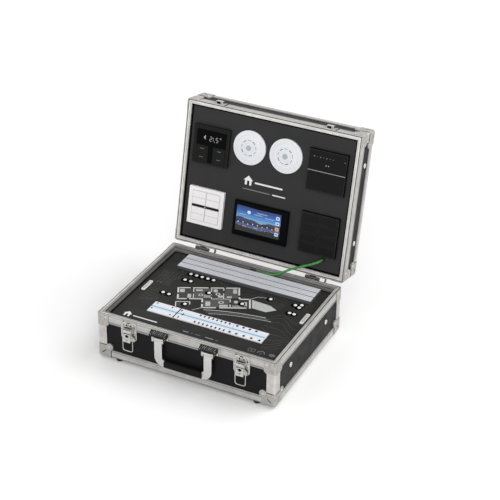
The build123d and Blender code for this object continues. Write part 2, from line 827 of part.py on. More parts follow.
# Wiring ducts: channels on the panel, under lids with two grooves
duct_ys = [duct_first + n * duct_pitch for n in range(duct_count)]
with BuildPart(base.offset(board_z)) as duct_channels:
    channel_w = duct_w - 2 * (duct_wall + duct_fit)
    with Locations(*[(duct_x, y, 0) for y in duct_ys]):
        Box(duct_len - 2 * (duct_wall + duct_fit), channel_w, duct_h - duct_wall - duct_fit, align=low)
    with Locations(*[(duct_x, y, duct_wall) for y in duct_ys]):
        Box(duct_len - 4 * duct_wall, channel_w - 2 * duct_wall, duct_h, align=low, mode=Mode.SUBTRACT)
keep(duct_channels.part, "duct_channels")

with BuildPart(base.offset(board_z)) as duct_covers:
    with Locations(*[(duct_x, y, duct_fit) for y in duct_ys]):
        Box(duct_len, duct_w, duct_h - duct_fit, align=low)
    with Locations(*[(duct_x, y, duct_h - duct_wall) for y in duct_ys]):
        Box(
            duct_len - 2 * duct_wall,
            duct_w - 2 * duct_wall,
            duct_h,
            align=high,
            mode=Mode.SUBTRACT,
        )
    for y in duct_ys:
        with Locations(*[(duct_x, y + s * duct_groove_at, duct_h) for s in signs]):
            Box(duct_len, duct_groove_w, 2 * duct_groove_deep, mode=Mode.SUBTRACT)
keep(duct_covers.part, "duct_covers")

# Rail under the panel, its feet, and the devices on it
rail_top = board_z + front_up - device_deep
rail_low = rail_top - rail_h
floor_top = skin + floor_t
with BuildPart() as din_rail:
    with BuildSketch(side_plane(row_x)):
        with Locations((row_y, rail_low)):
            Rectangle(rail_w - 2 * rail_lip, rail_t, align=(Align.CENTER, Align.MIN))
        for s in signs:
            with Locations((row_y + s * (rail_w / 2 - rail_lip / 2), rail_top)):
                Rectangle(rail_lip, rail_t, align=(Align.CENTER, Align.MAX))
            with Locations((row_y + s * (rail_w / 2 - rail_lip), rail_top)):
                Rectangle(rail_t, rail_h, align=(Align.CENTER, Align.MAX))
    extrude(amount=row_l / 2 + rail_over, both=True)
    for x in (row_x - rail_foot_x, row_x + rail_foot_x):
        with BuildSketch(side_plane(x)):
            with Locations((row_y, floor_top)):
                foot_l = rail_w - 2 * rail_lip
                Rectangle(foot_l, rail_low - floor_top, align=(Align.CENTER, Align.MIN))
                hollow_h = rail_low - floor_top - rail_foot_t
                hollow_l = foot_l - 2 * rail_foot_t
                under = (Align.CENTER, Align.MIN)
                Rectangle(hollow_l, hollow_h, align=under, mode=Mode.SUBTRACT)
        extrude(amount=rail_foot_w / 2, both=True)
keep(din_rail.part, "din_rail")

start = module_from
for name, count in devices:
    length = count * module
    with BuildPart(base.offset(rail_top)) as device:
        with Locations((start + length / 2, row_y, 0)):
            Box(length - device_gap, front_h, device_deep, align=low)
        chamfer(device.faces().sort_by(Axis.Z)[-1].edges(), device_chamfer)
        with Locations((start + length / 2, row_y, 0)):
            Box(length - device_gap, body_h, device_deep - front_deep, align=low)
    keep(device.part, name)
    start += length

# Panel of wall devices in the lid, with holes for what is behind them
wall_z = lid_h - lid_recess
square_at = [thermo_at, switch_at, *keypads, display_at, *detectors]
couplers = [(x, v - half_d) for x, v in square_at]
with BuildPart(lid.offset(wall_z)) as device_panel:
    Box(
        case_w - 2 * rim_w - 2 * board_gap,
        case_d - 2 * rim_w - 2 * board_gap,
        board_t,
        align=high,
    )
    with Locations(*couplers):
        Cylinder(coupler_r + coupler_fit, 3 * board_t, mode=Mode.SUBTRACT)
keep(device_panel.part, "device_panel")

# Thermostat with a key either side of its stem
key_floor = device_proud + key_proud - key_t - key_under
wall_plane = lid.offset(wall_z)
tx, ty = thermo_at[0], thermo_at[1] - half_d
with BuildPart(wall_plane) as thermostat:
    with BuildSketch(wall_plane):
        with Locations((tx, ty)):
            RectangleRounded(thermo_side, thermo_side, device_r)
    extrude(amount=device_proud)
    with Locations((tx, ty, 0)):
        Cylinder(coupler_r, coupler_deep, align=high)
    for s in signs:
        with Locations((tx + s * key_at[0], ty + key_at[1], key_floor)):
            Box(
                key_w + 2 * rocker_gap,
                key_l + 2 * rocker_gap,
                device_proud,
                align=low,
                mode=Mode.SUBTRACT,
            )
            Box(key_seat_l, 2 * key_seat_r, key_under, align=low)
        seat_at = (tx + s * key_at[0], ty + key_at[1], key_floor + key_under)
        with Locations(Location(seat_at, (0, 90, 0))):
            Cylinder(key_seat_r, key_seat_l)
keep(thermostat.part, "thermostat")

for s, side in ((-1, "left"), (1, "right")):
    with BuildPart(wall_plane) as thermostat_key:
        with Locations((tx + s * key_at[0], ty + key_at[1], key_floor + key_under)):
            Box(key_w, key_l, key_t, align=low)
        seat_at = (tx + s * key_at[0], ty + key_at[1], key_floor + key_under)
        with Locations(Location(seat_at, (0, 90, 0))):
            Cylinder(key_seat_r + key_seat_fit, key_w, mode=Mode.SUBTRACT)
    keep(thermostat_key.part, f"thermostat_{side}_key")

# Switch with four rockers round a bar
sx, sy = switch_at[0], switch_at[1] - half_d
column = rocker_w / 2 + rocker_gap / 2
row = (rocker_l + bar_h) / 2 + rocker_gap
with BuildPart(wall_plane) as light_switch:
    with BuildSketch(wall_plane):
        with Locations((sx, sy)):
            RectangleRounded(switch_side, switch_side, device_r)
    extrude(amount=device_proud)
    with Locations((sx, sy, 0)):
        Cylinder(coupler_r, coupler_deep, align=high)
    with Locations((sx, sy, key_floor)):
        Box(
            2 * rocker_w + 3 * rocker_gap,
            2 * rocker_l + bar_h + 4 * rocker_gap,
            device_proud,
            align=low,
            mode=Mode.SUBTRACT,
        )
    for i, j in corners:
        with Locations((sx + i * column, sy + j * row, key_floor)):
            Box(key_seat_l, 2 * key_seat_r, key_under, align=low)
        seat_at = (sx + i * column, sy + j * row, key_floor + key_under)
        with Locations(Location(seat_at, (0, 90, 0))):
            Cylinder(key_seat_r, key_seat_l)
    with Locations((sx, sy, key_floor)):
        bar_t = device_proud + bar_proud - key_floor
        Box(2 * rocker_w + rocker_gap, bar_h, bar_t, align=low)
keep(light_switch.part, "light_switch")

for i, j in corners:
    name = ("lower", "upper")[j > 0] + "_" + ("left", "right")[i > 0]
    with BuildPart(wall_plane) as rocker:
        with Locations((sx + i * column, sy + j * row, key_floor + key_under)):
            Box(rocker_w, rocker_l, key_t, align=low)
        seat_at = (sx + i * column, sy + j * row, key_floor + key_under)
        with Locations(Location(seat_at, (0, 90, 0))):
            Cylinder(key_seat_r + key_seat_fit, rocker_w, mode=Mode.SUBTRACT)
    keep(rocker.part, f"rocker_{name}")

# Two keypads and a display, each a case with a glass front
case_deep = device_proud - glass_t
dx, dy = display_at[0], display_at[1] - half_d
with BuildPart(wall_plane) as touch_device_cases:
    for x, v in keypads:
        with BuildSketch(wall_plane):
            with Locations((x, v - half_d)):
                RectangleRounded(keypad_w, keypad_l, device_r)
        extrude(amount=case_deep)
        with Locations((x, v - half_d, 0)):
            Cylinder(coupler_r, coupler_deep, align=high)
    with BuildSketch(wall_plane):
        with Locations((dx, dy)):
            RectangleRounded(display_w, display_l, device_r)
    extrude(amount=case_deep)
    with Locations((dx, dy, 0)):
        Cylinder(coupler_r, coupler_deep, align=high)
keep(touch_device_cases.part, "touch_device_cases")

glass_plane = wall_plane.offset(case_deep)
with BuildPart(glass_plane) as keypad_glasses:
    for x, v in keypads:
        with BuildSketch(glass_plane):
            with Locations((x, v - half_d)):
                RectangleRounded(keypad_w - 2 * glass_in, keypad_l - 2 * glass_in, device_r)
        extrude(amount=glass_t)
keep(keypad_glasses.part, "keypad_glasses")

with BuildPart(glass_plane) as display_glass:
    with BuildSketch(glass_plane):
        with Locations((dx, dy)):
            RectangleRounded(display_w - 2 * glass_in, display_l - 2 * glass_in, device_r)
    extrude(amount=glass_t)
keep(display_glass.part, "display_glass")

# Round detectors: a low dome with two fine rings, a ring of vents and a lens in the middle
dome_in = detector_r - detector_step
dome_r = (dome_in**2 + (detector_h - detector_edge) ** 2) / (2 * (detector_h - detector_edge))
with BuildPart(mode=Mode.PRIVATE) as detector:
    with BuildSketch(Plane.XZ):
        with BuildLine():
            Polyline(
                (0, detector_h),
                (0, 0),
                (detector_r, 0),
                (detector_r, detector_edge),
                (dome_in, detector_edge),
            )
            TangentArc((0, detector_h), (dome_in, detector_edge), tangent=(1, 0))
        make_face()
    revolve(axis=Axis.Z)
    for ring_r in ring_radii:
        with BuildSketch(Plane.XY.offset(detector_h - ring_r**2 / (2 * dome_r) - ring_deep)):
            Circle(ring_r + ring_w / 2)
            Circle(ring_r - ring_w / 2, mode=Mode.SUBTRACT)
        extrude(amount=detector_h, mode=Mode.SUBTRACT)
    with BuildSketch(Plane.XY.offset(detector_h - vent_r**2 / (2 * dome_r) - vent_deep)):
        with PolarLocations(vent_r, vent_count):
            SlotOverall(vent_l, vent_w)
    extrude(amount=detector_h, mode=Mode.SUBTRACT)
    with Locations((0, 0, detector_h - lens_sunk)):
        Cylinder(lens_r, detector_h, align=low, mode=Mode.SUBTRACT)
    Cylinder(coupler_r, coupler_deep, align=high)

with BuildPart(mode=Mode.PRIVATE) as lens:
    Cylinder(lens_r - lamp_fit, lens_sunk + lens_up, align=low)
    fillet(lens.edges().filter_by(GeomType.CIRCLE).sort_by(Axis.Z)[-1], lens_round)

with BuildPart(wall_plane) as detector_housings:
    with Locations(*((x, v - half_d, 0) for x, v in detectors)):
        add(detector.part)
keep(detector_housings.part, "detector_housings")

with BuildPart(wall_plane) as detector_lenses:
    with Locations(*((x, v - half_d, detector_h - lens_sunk) for x, v in detectors)):
        add(lens.part)
keep(detector_lenses.part, "detector_lenses")

# Gland on the lower panel and grommet on the upper one, where the cable ends
with BuildPart(base.offset(board_z)) as cable_gland:
    with Locations((gland_x, gland_y, 0)):
        Box(gland_l, gland_w, gland_h, align=low)
    fillet(cable_gland.edges().filter_by(Axis.X), 2)
keep(cable_gland.part, "cable_gland")

with BuildPart(wall_plane) as cable_grommet:
    with Locations((grommet_x, grommet_v - half_d, 0)):
        Cone(grommet_r, grommet_tip_r, grommet_h, align=low)
keep(cable_grommet.part, "cable_grommet")

# Bus cable: straight runs joined by arcs, from the gland to the grommet
leave = lid.from_local_coords(Vector(grommet_x, grommet_v - half_d, wall_z + grommet_h))
gland_end = Vector(gland_x + gland_l / 2, gland_y, board_z + cable_up)
route = [base.from_local_coords(gland_end)]
for point in (
    (26.0, gland_y, board_z + cable_up),
    (46.0, 169.8, 110.8),
    (66.0, 170.0, 117.0),
    (83.0, 173.6, 127.5),
    (101.0, 177.6, 138.5),
    (119.0, 178.0, 148.6),
    (138.0, 177.0, 158.8),
    (156.0, 178.0, 167.5),
    (169.0, 186.5, 172.5),
):
    route.append(base.from_local_coords(Vector(*point)))
route.append(leave + lid.z_dir * cable_exit)
route.append(leave)


def arc_radii(points):
    """For each inner point, a share of the shorter run over the tangent of half the turn."""
    radii = []
    for before, here, after in zip(points, points[1:], points[2:]):
        run_in, run_out = here - before, after - here
        turn = radians(run_in.get_angle(run_out))
        radii.append(arc_share * min(run_in.length, run_out.length) / tan(turn / 2))
    return radii


radii = arc_radii(route)
with BuildPart() as bus_cable:
    with BuildLine() as path:
        FilletPolyline(*route, radius=radii)
    with BuildSketch(Plane(path.line @ 0, z_dir=path.line % 0)):
        Circle(cable_d / 2)
    sweep()
keep(bus_cable.part, "bus_cable")
cable_l = sum(edge.length for edge in path.edges())
section = pi * cable_d**2 / 4
print("cable length", round(cable_l, 1), "radii", [round(r, 1) for r in radii])
print("cable volume", round(bus_cable.part.volume), round(section * cable_l))
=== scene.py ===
from math import cos, pi, radians, sin

import bmesh
import bpy
from mathutils import Matrix, Vector


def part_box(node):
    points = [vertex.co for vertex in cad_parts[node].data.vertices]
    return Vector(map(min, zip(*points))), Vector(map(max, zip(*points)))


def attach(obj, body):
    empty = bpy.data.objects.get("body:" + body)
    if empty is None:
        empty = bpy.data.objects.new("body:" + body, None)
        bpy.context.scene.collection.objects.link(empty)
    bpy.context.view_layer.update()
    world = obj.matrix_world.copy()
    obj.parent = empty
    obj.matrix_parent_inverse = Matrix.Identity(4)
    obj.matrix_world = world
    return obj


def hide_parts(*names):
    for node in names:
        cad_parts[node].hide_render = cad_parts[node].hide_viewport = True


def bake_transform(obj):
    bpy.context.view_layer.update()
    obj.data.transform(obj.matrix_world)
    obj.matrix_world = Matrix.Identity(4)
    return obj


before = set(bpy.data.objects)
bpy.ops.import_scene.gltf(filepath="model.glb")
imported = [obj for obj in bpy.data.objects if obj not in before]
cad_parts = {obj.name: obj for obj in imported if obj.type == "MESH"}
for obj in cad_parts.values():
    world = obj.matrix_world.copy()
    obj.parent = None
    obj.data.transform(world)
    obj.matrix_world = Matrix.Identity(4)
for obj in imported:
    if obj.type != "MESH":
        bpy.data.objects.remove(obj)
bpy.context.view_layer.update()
scene = bpy.context.scene

# Places on the two trays, in millimetres: across, away from the front or up from
# the hinge side, and out of the panel's face. The lid's rails are shaded in a space
# turned by lid_tilt, in which lid_middle is the middle of their tray.
case_w, case_d = 470.0, 374.0
base_y = -76.0228
panel_z, lid_z = 110.5, 134
row_y = -82.0
pin = Vector((0, base_y + 193.4, 128.1))
open_turn = radians(-101.9)
metres = Matrix.Scale(0.001, 4)
BASE = metres @ Matrix.Translation((0, base_y, panel_z))
shut = Matrix(((1, 0, 0, 0), (0, -1, 0, base_y + case_d / 2), (0, 0, -1, lid_z), (0, 0, 0, 1)))
swing = Matrix.Translation(pin) @ Matrix.Rotation(open_turn, 4, "X") @ Matrix.Translation(-pin)
LID = metres @ swing @ shut
FRONT = metres @ Matrix(
    ((1, 0, 0, 0), (0, 0, -1, base_y - case_d / 2), (0, 1, 0, panel_z), (0, 0, 0, 1))
)
lid_tilt = (radians(-78.1), 0, 0)
lid_middle = 0.3429


# Camera at the photograph's viewing angle
def look():
    """The camera, from its bearing, its pitch down, its roll and its place."""
    bearing, pitch, roll = radians(25.7022), radians(30.3705), radians(1.0370)
    right = Vector((cos(bearing), sin(bearing), 0))
    ahead = Vector((-sin(bearing) * cos(pitch), cos(bearing) * cos(pitch), -sin(pitch)))
    up = right.cross(ahead)
    right, up = cos(roll) * right + sin(roll) * up, cos(roll) * up - sin(roll) * right
    data = bpy.data.cameras.new("camera")
    data.sensor_width = 36.0
    data.lens = 103.184
    data.clip_end = 100.0
    camera = bpy.data.objects.new("camera", data)
    facing = Matrix((right, up, -ahead)).transposed().to_4x4()
    camera.matrix_world = Matrix.Translation((1.329455, -2.684286, 1.982223)) @ facing
    scene.collection.objects.link(camera)
    scene.camera = camera


look()


# Materials
def level(*value):
    """A colour from its 0 to 255 screen levels, as the linear one a shader takes."""
    parts = [c / 255 for c in value]
    return [p / 12.92 if p <= 0.04045 else ((p + 0.055) / 1.055) ** 2.4 for p in parts] + [1.0]


def fill(tree, owner, sockets):
    """Sets a node's sockets, or links them to those of others."""
    for key, value in sockets.items():
        if isinstance(value, bpy.types.NodeSocket):
            tree.links.new(value, owner.inputs[key])
        else:
            owner.inputs[key].default_value = value


def node(tree, kind, sockets=None, **settings):
    """A shader node with its settings and sockets."""
    made = tree.nodes.new("ShaderNode" + kind)
    for key, value in settings.items():
        setattr(made, key, value)
    fill(tree, made, sockets or {})
    return made


def maths(tree, operation, *values, **settings):
    """The result of an operation on numbers or sockets."""
    made = node(tree, "Math", dict(enumerate(values)), operation=operation, **settings)
    return made.outputs["Value"]


def remap(tree, value, low, high, to_low=0.0, to_high=1.0):
    """A value taken from one range to another."""
    ends = {"From Min": low, "From Max": high, "To Min": to_low, "To Max": to_high}
    return node(tree, "MapRange", {"Value": value, **ends}).outputs["Result"]


def ramp(tree, factor, stops):
    """Colours at places along a factor."""
    made = node(tree, "ValToRGB", {"Fac": factor})
    line = made.color_ramp
    while len(line.elements) < len(stops):
        line.elements.new(0.5)
    for element, (place, colour) in zip(line.elements, stops):
        element.position = place
        element.color = colour
    return made.outputs["Color"]


def mixed(tree, factor, first, second, way="MIX"):
    """Two colours mixed by a factor."""
    sockets = {0: factor, 6: first, 7: second}
    return node(tree, "Mix", sockets, data_type="RGBA", blend_type=way).outputs[2]


def shade(colour, share):
    """A colour times a share."""
    return [min(1.0, c * share) for c in colour[:3]] + [1.0]


class Surface:
    """A material whose colour, roughness and height all vary with its own grain."""

    def __init__(self, name, colour, rough, metal=0.0, specular=0.5, coat=0.0):
        self.material = bpy.data.materials.new(name)
        self.material.use_nodes = True
        self.tree = self.material.node_tree
        self.shader = self.tree.nodes["Principled BSDF"]
        self.colour = level(*colour)
        self.rough = rough
        self.feed({"Metallic": metal, "Specular IOR Level": specular, "Coat Weight": coat})
        self.place = node(self.tree, "TexCoord").outputs["Object"]
        self.tone = None
        self.height = None

    def feed(self, sockets):
        fill(self.tree, self.shader, sockets)

    def turn(self, tilt):
        sockets = {"Vector": self.place, "Rotation": tilt}
        self.place = node(self.tree, "Mapping", sockets).outputs["Vector"]

    def noise(self, scale, detail=3.0, stretch=(1, 1, 1)):
        where = node(self.tree, "Mapping", {"Vector": self.place, "Scale": stretch})
        sockets = {"Vector": where.outputs["Vector"], "Scale": scale, "Detail": detail}
        return node(self.tree, "TexNoise", sockets).outputs["Fac"]

    def cells(self, scale):
        sockets = {"Vector": self.place, "Scale": scale}
        return node(self.tree, "TexVoronoi", sockets).outputs["Distance"]

    def vary(self, factor, spread, low=0.3, high=0.7):
        """The colour goes from darker to lighter by a share along the factor."""
        ends = ((low, 1 - spread), (high, 1 + spread))
        made = ramp(self.tree, factor, [(at, shade(self.colour, share)) for at, share in ends])
        self.tone = made if self.tone is None else mixed(self.tree, 0.5, self.tone, made)

    def roughen(self, factor, spread):
        low, high = self.rough - spread, self.rough + spread
        self.feed({"Roughness": remap(self.tree, factor, 0.3, 0.7, low, high)})

    def raise_by(self, factor, distance, strength=0.6):
        """Bumps, on top of those before, a distance in millimetres high."""
        sockets = {"Height": factor, "Strength": strength, "Distance": distance / 1000}
        if self.height is not None:
            sockets["Normal"] = self.height
        self.height = node(self.tree, "Bump", sockets).outputs["Normal"]

    def done(self):
        self.feed({"Base Color": self.tone})
        if self.height is not None:
            self.feed({"Normal": self.height})
        return self.material


def moulded(name, colour, rough, grain, bump, spread, specular=0.5, coat=0.0, shade_bands=()):
    """Moulded plastic or rubber: a fine grain, slightly uneven colour, and painted shade by height
    where shade bands are given.
    """
    made = Surface(name, colour, rough, specular=specular, coat=coat)
    fine = made.noise(grain)
    made.vary(fine, spread)
    made.vary(made.noise(18.0, 2.0), spread)
    if shade_bands:
        banded(made, node(made.tree, "SeparateXYZ", {"Vector": made.place}).outputs["Z"], shade_bands)
    made.roughen(made.noise(60.0), 0.05)
    made.raise_by(fine, bump)
    return made.done()


def laminate(name, colour, rough, spread):
    """Faced board: pressed grain, with a few paler specks."""
    made = Surface(name, colour, rough, specular=0.12)
    fine = made.noise(1100.0, 5.0)
    pores = made.cells(700.0)
    made.vary(fine, spread)
    made.vary(pores, spread, 0.2, 0.9)
    made.roughen(made.noise(35.0), 0.06)
    made.raise_by(pores, 0.08, 0.5)
    made.raise_by(fine, 0.04, 0.5)
    return made.done()


def banded(made, spot, shade_bands):
    """The colour times a share, given at places in millimetres along a coordinate."""
    low, high = shade_bands[0][0], shade_bands[-1][0]
    share = remap(made.tree, spot, low / 1000, high / 1000)
    stops = [((at - low) / (high - low), [tone] * 3 + [1.0]) for at, tone in shade_bands]
    made.tone = mixed(made.tree, 1.0, made.tone, ramp(made.tree, share, stops), "MULTIPLY")


# How far from the middle the rails along the sides begin, in metres
side_rail = 0.2105


def drawn(name, colour, run, tilt=None, shade_bands=(), rim_shade=(), middle=base_y / 1000):
    """Extruded aluminium: lines along its run, "X", "Y", "Z", or "XY" round a tray.

    Shade bands are heights with their share of the colour, painted shade and highlight for
    how the profile's ridges catch the light, and rim shade the same by how far in from the
    tray's outline they are."""
    made = Surface(name, colour, 0.46, metal=0.7)
    if tilt is not None:
        made.turn(tilt)
    tree, spread = made.tree, 0.16
    along = {"X": (6, 250, 250), "Y": (250, 6, 250), "Z": (250, 250, 6)}
    spot = node(tree, "SeparateXYZ", {"Vector": made.place}).outputs
    size = maths(tree, "ABSOLUTE", spot["X"])
    if run == "XY":
        side = maths(tree, "GREATER_THAN", size, side_rail)
        lines = mixed(tree, side, *(made.noise(1.0, 4.0, along[way]) for way in run))
    else:
        lines = made.noise(1.0, 4.0, along[run])
    made.vary(lines, spread, 0.35, 0.65)
    made.vary(made.noise(60.0, 5.0), spread, 0.35, 0.65)
    if shade_bands:
        banded(made, spot["Z"], shade_bands)
    if rim_shade:
        far = maths(tree, "ABSOLUTE", maths(tree, "SUBTRACT", spot["Y"], middle))
        x_in = maths(tree, "SUBTRACT", case_w / 2000, size)
        y_in = maths(tree, "SUBTRACT", case_d / 2000, far)
        banded(made, maths(tree, "MINIMUM", x_in, y_in), rim_shade)
    made.roughen(lines, 0.08)
    made.raise_by(lines, 0.02, 0.35)
    made.raise_by(made.noise(2500.0, 2.0), 0.01, 0.3)
    return made.done()


def plated(name, colour, rough, spread=0.08, spangle=False, cast=0.05):
    """Plated pressed steel: a bright skin with faint clouds, specks and handling marks.

    Cast is how many millimetres high its unevenness is."""
    made = Surface(name, colour, rough, metal=1.0)
    clouds = made.cells(160.0) if spangle else made.noise(170.0, 4.0)
    made.vary(clouds, spread, 0.35, 0.65)
    made.vary(made.noise(700.0, 2.0), spread * 0.5)
    made.roughen(made.noise(140.0, 4.0), 0.07)
    made.raise_by(made.noise(220.0, 2.0), cast, 0.3)
    return made.done()


def glossy(name, colour, rough, spread=0.15, specular=0.15):
    """Dark glass or lacquer with a faint haze of handling."""
    made = Surface(name, colour, rough, specular=specular)
    made.vary(made.noise(40.0, 4.0), spread)
    made.vary(made.noise(900.0, 2.0), spread * 0.5)
    made.roughen(made.noise(55.0, 5.0), 0.04)
    made.raise_by(made.noise(30.0, 1.0), 0.02, 0.1)
    return made.done()


def plywood():
    """Plywood battens: plies across the thickness and a grain along it."""
    made = Surface("plywood", (176, 148, 108), 0.6, specular=0.3)
    waves = {"Vector": made.place, "Scale": 110.0, "Distortion": 0.6, "Detail": 2.0}
    plies = node(made.tree, "TexWave", waves, bands_direction="Z").outputs["Fac"]
    grain = made.noise(1.0, 4.0, (25, 500, 700))
    made.vary(plies, 0.22)
    made.vary(grain, 0.18)
    made.roughen(grain, 0.08)
    made.raise_by(grain, 0.08)
    return made.done()


def label():
    """The devices' printed front: white, with a blue stripe that fades to both sides."""
    made = Surface("device_label", (236, 238, 240), 0.42)
    spot = node(made.tree, "SeparateXYZ", {"Vector": made.place}).outputs["Y"]
    away = maths(made.tree, "SUBTRACT", spot, (base_y + row_y) / 1000)
    share = remap(made.tree, maths(made.tree, "ABSOLUTE", away), 0.0, 0.012)
    stops = (
        (0.0, (70, 104, 126)), (0.06, (92, 130, 154)), (0.1, (176, 212, 228)),
        (0.3, (204, 226, 238)), (0.6, (222, 230, 244)), (0.9, (232, 232, 240)),
    )
    stripe = ramp(made.tree, share, [(at, level(*colour)) for at, colour in stops])
    grain = made.noise(1500.0)
    made.vary(grain, 0.02)
    made.tone = mixed(made.tree, 0.06, stripe, made.tone)
    made.roughen(made.noise(80.0), 0.05)
    made.raise_by(grain, 0.015)
    return made.done()


def glowing(name, colour, strength, spread=0.1):
    """Part of a lit display: its colour as light, with faint rows of dots."""
    made = Surface(name, colour, 0.2)
    rows = made.cells(1500.0)
    made.vary(rows, spread, 0.1, 0.8)
    made.roughen(made.noise(60.0), 0.03)
    made.feed({"Emission Color": made.tone, "Emission Strength": strength})
    return made.done()


def printed(name, colour, spread=0.12, speckle=0.0, specular=0.3):
    """Printing ink, a little uneven, and broken up by the board's grain."""
    made = Surface(name, colour, 0.5, specular=specular)
    made.vary(made.noise(900.0, 4.0), spread)
    if speckle:
        made.vary(made.cells(420.0), speckle, 0.15, 0.75)
    made.roughen(made.noise(200.0), 0.06)
    made.raise_by(made.noise(1200.0), 0.01)
    return made.done()


def jacket():
    """Green cable jacket: slightly uneven, with faint draw lines along it."""
    made = Surface("cable_jacket", (58, 142, 62), 0.4)
    lines = made.noise(1.0, 3.0, (60, 700, 700))
    made.vary(lines, 0.12)
    made.vary(made.noise(45.0), 0.08)
    made.roughen(lines, 0.06)
    made.raise_by(lines, 0.03)
    return made.done()


def dress(material, *names):
    """A material, put on nodes that come from the frame."""
    for name in names:
        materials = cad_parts[name].data.materials
        materials.clear()
        materials.append(material)
    return material


def over(start, *stops):
    """Bands at heights over a start, each with its share of the colour."""
    return [(start + rise, share) for rise, share in stops]


# The case: boards, rails, posts, corners and fittings. Painted shade and highlight band the
# rails' profile from the bottom edge up to the rim, and their rim shade bands it inwards.
board = laminate("case_laminate", (17, 17, 19), 0.5, 0.2)
dress(board, "base_floor_panel", "base_wall_panels", "lid_back_panel", "lid_wall_panels")
aluminium, post_grey = (212, 210, 207), (200, 197, 195)
base_low, base_top, lid_top = 7.0, 127.5, -88.3
# Painted shade and highlight up the rails' profile, by height
base_profile_shade = over(
    base_low, (0, 0.55), (2.6, 0.62), (3.6, 0.3), (4.8, 0.95), (10, 1.08), (11, 0.8),
    (12, 1.05), (17.2, 0.9), (18.0, 0.4), (19.0, 0.9),
) + over(
    base_top, (-24, 0.8), (-19.5, 0.4), (-18.4, 0.9), (-12.0, 1.05), (-11.2, 0.72),
    (-10.2, 1.0), (-5.0, 1.05), (-4.2, 0.45), (-3.2, 0.95), (0, 1.05),
)
lid_profile_shade = over(
    lid_top, (-82.5, 0.6), (-78.7, 0.9), (-78.0, 0.4), (-77.0, 1.05), (-65.0, 0.9),
    (-64.2, 0.4), (-63.2, 1.0), (-24.0, 0.85), (-19.5, 0.5), (-18.4, 0.95), (-10.4, 1.05),
    (-9.6, 0.55), (-8.6, 1.0), (-2.6, 0.8), (0, 1.0),
)
# Painted shade and highlight across the rims' tops, by distance in from the outline
outer_rim_shade = ((0.0, 0.76), (1.2, 0.8), (2.2, 0.56), (3.2, 0.56))
rim_top_shade = outer_rim_shade + (
    (4.2, 0.98), (5.6, 1.1), (6.6, 0.62), (7.2, 0.62), (8.2, 0.9), (10.0, 0.86), (11.0, 0.7),
)
lid_rim_top_shade = outer_rim_shade + ((4.2, 1.0), (8.2, 1.22), (11.0, 1.22))
base_rails = drawn("rail_aluminium", aluminium, "XY", None, base_profile_shade, rim_top_shade)
lid_rails = drawn(
    "lid_rail_aluminium", aluminium, "XY", lid_tilt, lid_profile_shade, lid_rim_top_shade, lid_middle
)
dress(base_rails, "base_edge_rails", "base_rim_rails")
dress(lid_rails, "lid_edge_rails", "lid_rim_rails")
dress(drawn("post_aluminium", post_grey, "Z"), "base_corner_posts")
dress(drawn("lid_post_aluminium", post_grey, "Z", lid_tilt), "lid_corner_posts")
nickel = plated("nickel", (176, 173, 169), 0.5, 0.3, cast=0.12)
dress(nickel, "base_ball_corners", "lid_ball_corners", "base_rim_brackets", "lid_rim_brackets")
dress(plated("bright_rivet", (206, 203, 198), 0.2, 0.15), "base_rivets", "lid_rivets")
dress(plywood(), "base_battens", "lid_battens")
dress(moulded("rubber", (24, 24, 24), 0.75, 800.0, 0.06, 0.15, specular=0.3), "rubber_feet")
dark_steel = plated("dark_steel", (96, 93, 90), 0.34)
dress(dark_steel, "hinge_base_leaves", "hinge_lid_leaves", "hinge_pins")
hands = ("left", "right")
chrome = plated("chrome", (190, 188, 184), 0.2, 0.36, cast=0.25)
dress(chrome, "handle_mounts", "handle_pins", "latch_plates", "latch_catches")
dress(chrome, *(f"{side}_latch_{part}" for side in hands for part in ("lever", "loop")))
dress(plated("arm_steel", (204, 204, 202), 0.32), "handle_arms")

# Moulded parts, and the two boards that carry the devices
# A moulded black, for painted shade in the rims' grooves and the corners' slots and gaps, and for
# the door printed on the house sign
shade_and_print_black = moulded("shade_and_print_black", (14, 14, 14), 0.7, 900.0, 0.05, 0.2, specular=0.1)
device_black = moulded("device_black", (12, 12, 13), 0.5, 1400.0, 0.03, 0.12, specular=0.06)
dress(device_black, "touch_device_cases")
white_plastic = moulded("white_plastic", (240, 238, 238), 0.35, 1600.0, 0.015, 0.03)
dress(white_plastic, "light_switch")
dress(white_plastic, *(f"rocker_{rise}_{side}" for rise in ("upper", "lower") for side in hands))
